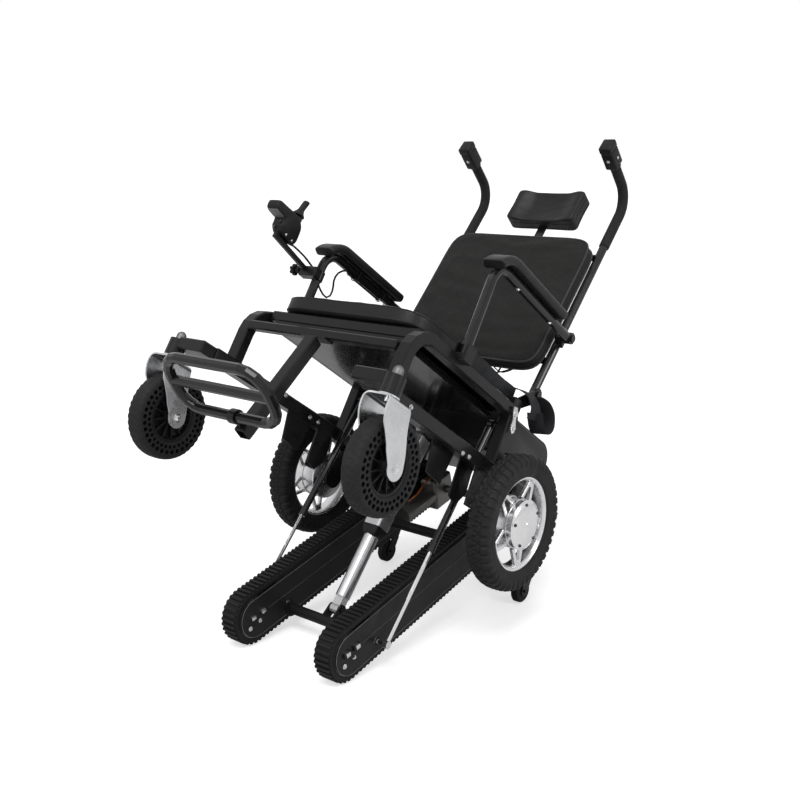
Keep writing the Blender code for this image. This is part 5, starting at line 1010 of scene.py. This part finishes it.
def radial_bar(start, end, spread, halves, low, high, angle, bevel=0.0014):
    """A bar from one radius to another, with its offset and half width at each end."""
    rings = []
    for share in (0.0, 0.5, 1.0):
        radius = start + (end - start) * share
        offset = spread[0] + (spread[1] - spread[0]) * share
        half = halves[0] + (halves[1] - halves[0]) * share
        ring = []
        for x, across in ((low, -half + bevel), (low, half - bevel), (low + bevel, half),
                (high - bevel, half), (high, half - bevel), (high, -half + bevel),
                (high - bevel, -half), (low + bevel, -half)):
            ring.append(Vector((x, radius, offset + across)))
        rings.append(ring)
    return moved(skin(rings), Matrix.Rotation(angle, 4, "X"))


def mirrored(shape, way):
    if way < 0:
        bmesh.ops.scale(shape, vec=(-1.0, 1.0, 1.0), verts=shape.verts)
    return shape


def rear_wheel(way, word):
    turn = wheel_frame("rear_wheel_spin_" + word)

    def add(name, shape, material, slot, crease=35.0, replaces=()):
        put(name + word, mirrored(shape, way), turn, "rear_wheel_" + word, material, crease,
            replaces)

    add("tyre_", rear_tyre(), TYRE, "tyre_rubber", 32, ["rear_tyre_" + word])
    barrel = lathe(both_ways(((0.02, 0.1082), (0.021, 0.1078), (0.021, 0.1052), (0.02, 0.1034),
        (0.0172, 0.1012), (0.013, 0.0988))), 128, closed=True)
    drum = lathe([(-0.04, 0.0078), (-0.04, 0.0555), (-0.0388, 0.058), (-0.036, 0.0598),
        (-0.016, 0.0598), (-0.014, 0.0585), (-0.013, 0.056), (0.001, 0.0558), (0.0016, 0.0576),
        (0.015, 0.0576), (0.0156, 0.0562), (0.028, 0.056), (0.028, 0.05), (0.003, 0.048),
        (0.003, 0.0078)], 96, closed=True)
    bars = []
    for number in range(SPOKES):
        angle = math.tau * (number + 0.25) / SPOKES
        for side in (-1, 1):
            bars.append(radial_bar(0.056, 0.1, (side * 0.0185, side * 0.0062), (0.005, 0.0045),
                0.003, 0.0128, angle))
        bars.append(radial_bar(0.089, 0.1, (0.0, 0.0), (0.0062, 0.007), 0.003, 0.011, angle))
    add("rim_", merged(barrel, drum, *bars), ALLOY, "alloy", 30, ["rear_rim_" + word])
    dome = lathe([(0.027, 0.054), (0.0284, 0.0578), (0.03, 0.0578), (0.0308, 0.0566),
        (0.031, 0.0548), (0.0322, 0.0538), (0.0342, 0.05), (0.0362, 0.042), (0.0376, 0.032),
        (0.0384, 0.022), (0.0388, 0.013), (0.0388, 0.0095), (0.0396, 0.0086), (0.0397, 0.001)], 96)
    ring = lathe([(0.03, 0.053), (0.0319, 0.054), (0.033, 0.052), (0.0325, 0.0505), (0.03, 0.05)],
        96, closed=True)
    heads = [bolt(on_circle(0.0345, 0.0485, math.tau * (number + 0.75) / SPOKES), (1, 0, 0),
        0.0028, 0.0024, 20) for number in range(SPOKES)]
    add("hub_dome_", merged(dome, ring), DOME, "alloy", 25)
    add("hub_screws_", merged(*heads), DARK_METAL, "grey_metal")
    nuts = lathe([(-0.0402, 0.0078), (-0.0402, 0.017), (-0.0412, 0.018), (-0.0432, 0.018),
        (-0.044, 0.0165), (-0.044, 0.0078)], 6, closed=True)
    add("hub_plate_", nuts, DARK_METAL, "grey_metal")


# Casters
CASTER_PLACE = (0.583, 0.3114)
CASTER_AXLE = (-0.055, 0.0972)
CASTER_RIBS = 12
CASTER_TREAD_HALF = 0.0185
HOLE_ROWS = ((0.079, 0.0054, 34), (0.0672, 0.0045, 34))


def caster_tyre():
    """A solid tyre with two rows of holes through its side and a chevron tread."""
    profile = both_ways(((-0.018, 0.0564), (-0.0205, 0.059), (-0.0216, 0.064), (-0.0218, 0.086),
        (-0.0206, 0.0905), (-0.018, 0.0935), (-0.014, 0.0952), (-0.0095, 0.096), (-0.0048, 0.0962),
        (0.0, 0.0962)))
    steps = 240
    rings = []
    for step in range(steps):
        ring = []
        for along, radius in profile:
            if abs(along) < CASTER_TREAD_HALF and radius > 0.09:
                phase = (step / 6 + abs(along) * 90.0) % 1.0
                radius += 0.0011 if phase < 0.6 else -0.0006
            ring.append(on_circle(along, radius, math.tau * step / steps))
        rings.append(ring)
    pins = []
    for row, (radius, size, count) in enumerate(HOLE_ROWS):
        for number in range(count):
            middle = on_circle(0.0, radius, math.tau * (number + 0.5 * row) / count)
            pins.append(lathe([(-0.03, size), (0.03, size)], 10, middle))
    made = []
    for name, part in (("caster_body", skin(rings, closed=True)), ("caster_pins", merged(*pins))):
        bmesh.ops.recalc_face_normals(part, faces=part.faces)
        mesh = bpy.data.meshes.new(name)
        part.to_mesh(mesh)
        part.free()
        made.append(linked(name, mesh))
    change = made[0].modifiers.new("holes", "BOOLEAN")
    change.operation = "DIFFERENCE"
    change.solver = "EXACT"
    change.object = made[1]
    graph = bpy.context.evaluated_depsgraph_get()
    mesh = bpy.data.meshes.new_from_object(made[0].evaluated_get(graph))
    for piece in made:
        bpy.data.objects.remove(piece)
    return mesh


CASTER_TYRE_MESH = caster_tyre()
FORK_EDGES = (
    (0.0738, -0.0515, -0.0585), (0.076, -0.0442, -0.0658), (0.08, -0.0383, -0.0717),
    (0.086, -0.0338, -0.076), (0.092, -0.0308, -0.0782), (0.098, -0.028, -0.0788),
    (0.106, -0.021, -0.0772), (0.116, -0.012, -0.0742), (0.128, -0.004, -0.07),
    (0.145, 0.011, -0.062), (0.16, 0.024, -0.054), (0.172, 0.03, -0.049),
    (0.182, 0.033, -0.0455), (0.192, 0.034, -0.0425), (0.2, 0.0335, -0.0405),
)
FORK_TOP = 0.2117
FORK_SIDE = 0.0308
FORK_CORNER = 0.0115


def fork_sheet():
    """The bent sheet of a caster fork: two tapered legs and a crown, in one strip."""
    half = []
    for height, front, rear in FORK_EDGES:
        half.append((FORK_SIDE, height, front, rear, (1.0, 0.0)))
    for step in range(1, 9):
        angle = math.tau / 4 * step / 8
        x = FORK_SIDE - FORK_CORNER + FORK_CORNER * math.cos(angle)
        z = FORK_TOP - FORK_CORNER + FORK_CORNER * math.sin(angle)
        share = step / 8
        half.append((x, z, 0.0335 - 0.0045 * share, -0.0405 + 0.003 * share,
            (math.cos(angle), math.sin(angle))))
    line = half + [(-x, z, front, rear, (-out[0], out[1])) for x, z, front, rear,
        out in reversed(half)]
    rings = []
    for x, z, front, rear, out in line:
        ring = []
        for ahead, lift in ((front - 0.0006, 0.002), (front, 0.0014), (front, -0.0014),
                (front - 0.0006, -0.002), (rear + 0.0006, -0.002), (rear, -0.0014), (rear, 0.0014),
                (rear + 0.0006, 0.002)):
            ring.append(Vector((x + out[0] * lift, -ahead, z + out[1] * lift)))
        rings.append(ring)
    return skin(rings)


def caster(way, word):
    fork = "caster_fork_" + word
    stem = CHAIR @ Matrix.Translation(at(CASTER_PLACE[0], 0.0, way * CASTER_PLACE[1]))
    put("fork_sheet_" + word, fork_sheet(), stem, fork, ZINC, 40, [fork])
    metalwork = [bolt(at(*CASTER_AXLE, side * (FORK_SIDE + 0.002)), (side, 0, 0), 0.0065, 0.0046,
        24) for side in (-1, 1)]
    metalwork += [rod(at(*CASTER_AXLE, side * 0.029), at(*CASTER_AXLE, side * 0.027), 0.0095,
        edge=0.0004) for side in (-1, 1)]
    metalwork += [rod(at(0.0, 0.205), at(0.0, 0.269), 0.0069, edge=0.0003),
        rod(at(*CASTER_AXLE, -0.031), at(*CASTER_AXLE, 0.031), 0.005)]
    put("fork_bolts_" + word, merged(*metalwork), stem, fork, CHROME)
    cap = turned([(0.0003, 0.01), (0.0008, 0.011), (0.0115, 0.011), (0.015, 0.0102),
        (0.0185, 0.0078), (0.0208, 0.0045), (0.0218, 0.001)], at(0.0, 0.258), at(0.0, 0.29), 32)
    put("stem_cap_" + word, cap, stem, fork, CAST, 50)
    spin = wheel_frame("caster_spin_" + word)
    body = "caster_wheel_" + word
    tyre = bmesh.new()
    tyre.from_mesh(CASTER_TYRE_MESH)
    put("caster_rubber_" + word, tyre, spin, body, CASTER_RUBBER, 32,
        ["caster_tyre_" + word])
    ring = lathe(both_ways(((0.0174, 0.056), (0.018, 0.0555), (0.018, 0.053), (0.0165, 0.0508),
        (0.006, 0.047), (0.0045, 0.044), (0.0045, 0.022), (0.012, 0.019), (0.024, 0.0165),
        (0.0255, 0.015), (0.0255, 0.0056))), 96, closed=True)
    ribs = [radial_bar(0.018, 0.0515, (0.0, 0.0), (0.0017, 0.0013), low, high,
        math.tau * number / CASTER_RIBS, 0.0005) for number in range(CASTER_RIBS)
        for low, high in ((-0.014, -0.0035), (0.0035, 0.014))]
    put("caster_hub_" + word, merged(ring, *ribs), spin, body, MOULDED, 30,
        ["caster_rim_" + word])
    collar = turned([(0.0, 0.0212), (0.0006, 0.0219), (0.0032, 0.0219), (0.0038, 0.0212)],
        at(0.0, 0.2143), at(0.0, 0.3), 48)
    put("barrel_collar_" + word, collar, stem, "frame", CHROME)


# Tracks
BELT_RIBS = 134
RIB_HEIGHT = 0.0048
BELT_BASE = TRACK_RADIUS - RIB_HEIGHT
BELT_INSIDE = TRACK_RADIUS - 0.015
CROSS_TUBE = (0.565, -0.0407)


def on_loop(distance, radius, lift=0.0):
    """A point at a distance round the belt's path, moved outwards."""
    half_turn = math.pi * radius
    around = distance % (2 * TRACK_LENGTH + 2 * half_turn)
    reach = radius + lift
    if around < TRACK_LENGTH:
        return at(around, -reach)
    around -= TRACK_LENGTH
    if around < half_turn:
        angle = around / radius - math.pi / 2
        return at(TRACK_LENGTH + reach * math.cos(angle), reach * math.sin(angle))
    around -= half_turn
    if around < TRACK_LENGTH:
        return at(TRACK_LENGTH - around, reach)
    angle = (around - TRACK_LENGTH) / radius + math.pi / 2
    return at(reach * math.cos(angle), reach * math.sin(angle))


def belt(middle):
    """An endless belt of ribs that stop short of its smooth edges."""
    total = 2 * TRACK_LENGTH + math.tau * BELT_BASE
    pitch = total / BELT_RIBS
    half = TRACK_WIDTH / 2
    rings = []
    for number in range(BELT_RIBS):
        for share, lift in ((0.0, 0.0), (0.07, 0.8), (0.16, 1.0), (0.5, 1.0), (0.59, 0.8),
                (0.66, 0.0)):
            distance = (number + share) * pitch
            rise = lift * RIB_HEIGHT
            low, rim, side, top = (on_loop(distance, BELT_BASE, out)
                for out in (BELT_INSIDE - BELT_BASE, -0.0008, 0.0, rise))
            ring = [low - LEFT * half, rim - LEFT * half, side - LEFT * (half - 0.0008),
                side - LEFT * (half - 0.0022), top - LEFT * (half - 0.003),
                top + LEFT * (half - 0.003), side + LEFT * (half - 0.0022),
                side + LEFT * (half - 0.0008), rim + LEFT * half, low + LEFT * half]
            rings.append([point + LEFT * middle for point in ring])
    return skin(rings, closed=True)


def tracks():
    for way, word in SIDES:
        middle = way * TRACK_X
        put("belt_" + word, belt(middle), TRACK, "tracks", BELT_RUBBER, 30,
            ["track_belt_" + word])
        # Light grey lines round each side plate's rim are painted highlights on its edges; the
        # lengthwise line is a real seam, and its light grey is a painted highlight too.
        highlight_lines = []
        plate = TRACK_WIDTH / 2 + 0.004
        for side in (-1, 1):
            x = middle + side * (plate + 0.0001)
            ring = [at(*point, x) for point in arc((0.0, 0.0), 0.0455, 90, 270, 24)]
            ring += [at(*point, x) for point in arc((TRACK_LENGTH, 0.0), 0.0455, -90, 90, 24)]
            highlight_lines.append(tube(ring, 0.0006, 8, closed=True))
            highlight_lines.append(tube([at(0.63, 0.004, x), at(0.3, 0.004, x), at(0.02, 0.004, x)], 0.0004,
                6))
        put("track_edge_highlights_" + word, merged(*highlight_lines), TRACK, "tracks", GREY_PLASTIC)
        hardware = []
        for side in (-1, 1):
            x = middle + side * plate
            out = (side, 0, 0)
            for ahead, up, radius in ((0.6945, -0.0141, 0.004), (0.6631, -0.0115, 0.0034)):
                hardware.append(bolt(at(ahead, up, x), out, radius, 0.003))
            for ahead in (0.651, 0.6825):
                hardware.append(box((0.008, 0.0125, 0.01), at(ahead, 0.0095, x + side * 0.0036),
                    0.0, 0.0012, 2))
            stud = at(0.59, -0.019, middle + way * plate)
            hardware.append(bolt(stud, (way, 0, 0), 0.006, 0.005))
            hardware.append(rod(stud, stud + Vector((way * 0.02, 0.0, 0.0)), 0.0036, 20, 0.0004))
            hardware.append(bolt(at(0.573, -0.0166, TRACK_X * way - way * plate), (-way, 0, 0),
                0.0036, 0.003))
        put("track_hardware_" + word, merged(*hardware), TRACK, "tracks", ZINC)
    cross = []
    for side in (-1, 1):
        end = side * (TRACK_X - TRACK_WIDTH / 2 - 0.0042)
        cross.append(lathe([(-0.0011, 0.013), (-0.0011, 0.0185), (0.0008, 0.0185),
            (0.0014, 0.013)], 32, at(*CROSS_TUBE, end - side * 0.0016), closed=True))
    put("cross_tube_flanges", merged(*cross), TRACK, "tracks", TRACK_PAINT)


def actuator():
    half = 0.023
    section = rounded_section(2 * half, 2 * half, 0.0048, 5)
    rings = []
    for height, share in ((-0.0222, 0.93), (-0.023, 0.985), (-0.0245, 1.0), (-0.269, 1.0),
            (-0.2712, 0.985), (-0.272, 0.93)):
        rings.append([Vector((x * share, y * share, height)) for x, y in section])
    case = skin(rings)
    ring = lathe([(-0.0112, 0.0067), (-0.0112, 0.0132), (-0.0104, 0.0136), (0.0104, 0.0136),
        (0.0112, 0.0132), (0.0112, 0.0067)], 40, closed=True)
    put("actuator_case", merged(case, ring), ACTUATOR, "actuator_housing", ANODISED,
        30, ["actuator_housing"])
    neck = box((0.0215, 0.0215, 0.014), (0.0, 0.0, -0.0185), 0.0, 0.001, 2)
    put("actuator_neck", neck, ACTUATOR, "actuator_housing", CAST)
    rings = []
    for height, reach, share in ((-0.2716, 0.0222, 0.0), (-0.2724, 0.0232, 0.0),
            (-0.282, 0.023, 0.25), (-0.292, 0.0218, 0.75), (-0.295, 0.0212, 1.0),
            (-0.296, 0.0206, 1.0)):
        ring = []
        for x, y in section:
            square = Vector((x, y, 0.0)) * (reach / half)
            ring.append(square.lerp(square.normalized() * reach, share)
                + Vector((0.0, 0.0, height)))
        rings.append(ring)
    inner = [[Vector((x, y, 0.0)).normalized() * 0.0183 + Vector((0.0, 0.0, height))
        for x, y in section] for height in (-0.296, -0.2716)]
    put("actuator_collar", skin(rings + inner, closed=True), ACTUATOR, "actuator_housing", MOULDED,
        35)
    heads = [bolt((x * 0.0175, y * 0.0175, -0.2719), (0, 0, -1), 0.0026, 0.0022, 20)
        for x, y in ((1, 1), (-1, 1), (-1, -1), (1, -1))]
    put("actuator_screws", merged(*heads), ACTUATOR, "actuator_housing", ZINC)


def track_wires():
    """Three loose leads that run from the gearbox up towards the battery tray."""
    colours = (("red", (0.25, 0.012, 0.01)), ("teal", (0.012, 0.1, 0.1)),
        ("orange", (0.45, 0.12, 0.015)))
    for number, (name, colour) in enumerate(colours):
        shift = 0.0045 * (number - 1)
        points = [at(0.03, 0.044, -0.088 + shift), at(0.05, 0.052, -0.08 + shift),
            at(0.085, 0.05 + shift, -0.07), at(0.12, 0.038 + shift, -0.074 + shift),
            at(0.14, 0.027 + shift, -0.082)]
        put("motor_lead_" + name, tube(smooth_line(points, 0.004), 0.0015, 10), TRACK, "tracks",
            rubber("lead_" + name, colour, 0.45, shade(colour, 0.5)))


def battery():
    outline = [(-0.0503, 0.3303), (-0.0503, 0.43), (-0.053, 0.4307)]
    outline += arc((-0.305 + 0.05, 0.4307 - 0.05), 0.05, 90, 180, 14) + [(-0.305, 0.3303)]
    shape = slab(outline, -0.1597, 0.1597, 0.0035, 4)
    put("battery_case", shape, CHAIR, "frame", CASE, 40, ["battery_box"])


def small_bolts():
    """Bolt heads on the frame, where the photograph shows them."""
    rows = [(0.205, 0.247, -0.212), (0.171, 0.248, -0.212), (0.31, 0.26, -0.212),
        (0.202, 0.238, 0.248), (0.174, 0.24, 0.248), (0.43, 0.25, 0.248)]
    heads = [bolt(at(*row), (1, 0, 0), 0.0042, 0.0036) for row in rows]
    heads += [bolt(at(0.052, 0.4, side * 0.2456), (side, 0, 0), 0.004, 0.0034) for side in (-1, 1)]
    put("frame_bolts", merged(*heads), CHAIR, "frame", ZINC)


# Everything that keeps its CAD shape
EDGE_WIDTH = 0.0009


def coats():
    """Materials of the nodes that keep their CAD shape, and softened edges on the sharp ones."""
    for material, single, paired in ((PAINT, ("leg_frame", "seat_bar", "rear_bar", "battery_tray",
            "controller_arm"), ("side_frame_", "caster_arm_")), (PAINT_TUBE,
            ("back_frame", "footrest_loop", "headrest_stem"), ("armrest_frame_",
            "strut_cylinder_")), (TRACK_PAINT, ("front_cross_tube", "rear_cross_tube"),
            ("track_frame_",)), (GLOSS, ("seat_base",), ()), (CAST, ("track_motor", "drive_shaft"),
            ("idler_drum_",)), (ANODISED, ("actuator_rod",), ()), (CHROME, (), ("strut_rod_",)),
            (BELT_RUBBER, (), ("roller_",)), (MOULDED, ("joystick_gimbal", "power_button"), ())):
        for name in (*single, *(stem + word for stem in paired for _, word in SIDES)):
            mesh = frame["nodes"][name].data
            mesh.materials.clear()
            mesh.materials.append(material)
    for name, node in frame["nodes"].items():
        if name.startswith(("side_frame", "leg_frame", "seat_bar", "rear_bar", "battery_tray",
                "caster_arm", "seat_base", "track_motor", "controller_arm")):
            change = node.modifiers.new("edges", "BEVEL")
            change.width = EDGE_WIDTH
            change.segments = 2
            change.limit_method = "ANGLE"
            change.angle_limit = math.radians(30.0)
            change.harden_normals = True


seat()
backrest()
headrest()
lap_belt()
control_box()
stick()
star_knob()
lead_clips()
tracks()
actuator()
track_wires()
battery()
small_bolts()
for way, word in SIDES:
    arm_pad(way, word)
    grip(way, word)
    rear_wheel(way, word)
    caster(way, word)
coats()


# Floor, backdrop and light
WORLD_LIGHT = 0.26
WORLD_SHINE = 0.72
FLOOR_GLOW = 0.6
FLOOR_RADIUS = 60.0
FLOOR_HEIGHT = -0.0004
FLOOR_GREY = (0.8, 0.8, 0.8, 1.0)
WHITE = (1.0, 1.0, 1.0, 1.0)


def floor_material():
    made = bpy.data.materials.new("floor_white")
    made.use_nodes = True
    nodes = Nodes(made.node_tree)
    shader = nodes.tree.nodes["Principled BSDF"]
    for name, value in (("Roughness", 0.75), ("Specular IOR Level", 0.2),
            ("Base Color", FLOOR_GREY), ("Emission Color", WHITE)):
        shader.inputs[name].default_value = value
    seen = nodes.add("ShaderNodeLightPath").outputs["Is Camera Ray"]
    nodes.link(nodes.spread(seen, 0.0, 1.0, 0.0, FLOOR_GLOW), shader.inputs["Emission Strength"])
    return made


def stage():
    floor = bpy.data.meshes.new("floor")
    shape = bmesh.new()
    bmesh.ops.create_circle(shape, cap_ends=True, segments=96, radius=FLOOR_RADIUS)
    bmesh.ops.translate(shape, vec=(0.0, 0.0, FLOOR_HEIGHT), verts=shape.verts)
    shape.to_mesh(floor)
    shape.free()
    floor.materials.append(floor_material())
    linked("floor", floor)
    world = bpy.data.worlds.new("studio")
    bpy.context.scene.world = world
    world.use_nodes = True
    nodes = Nodes(world.node_tree)
    nodes.tree.nodes.clear()
    path = nodes.add("ShaderNodeLightPath")
    seen = nodes.pair("MAXIMUM", path.outputs["Is Camera Ray"],
        path.outputs["Is Transmission Ray"])
    plain = nodes.spread(path.outputs["Is Glossy Ray"], 0.0, 1.0, WORLD_LIGHT, WORLD_SHINE)
    level = nodes.spread(seen, 0.0, 1.0)
    nodes.link(plain, level.node.inputs[3])
    shine = nodes.add("ShaderNodeBackground", Color=WHITE)
    nodes.link(level, shine.inputs["Strength"])
    out = nodes.add("ShaderNodeOutputWorld")
    nodes.link(shine.outputs[0], out.inputs["Surface"])


def lamp(kind, name, place, target, size, power):
    data = bpy.data.lights.new(name, kind)
    data.energy = power
    if kind == "SUN":
        data.angle = math.radians(size)
    else:
        data.shape = "DISK"
        data.size = size
    aim = Vector(target) - Vector(place)
    linked(name, data).matrix_world = Matrix.Translation(Vector(place)) @ aim.to_track_quat("-Z",
        "Y").to_matrix().to_4x4()


stage()
lamp("SUN", "key", (0.8, -1.6, 4.2), (0.0, 0.0, 0.4), 32.0, 1.5)
lamp("AREA", "side", (3.0, 0.4, 1.9), (0.0, 0.0, 0.5), 1.2, 22.0)
lamp("AREA", "front", (-0.6, -3.2, 2.2), (0.0, 0.0, 0.6), 1.2, 22.0)

bpy.context.scene.view_settings.view_transform = "Standard"
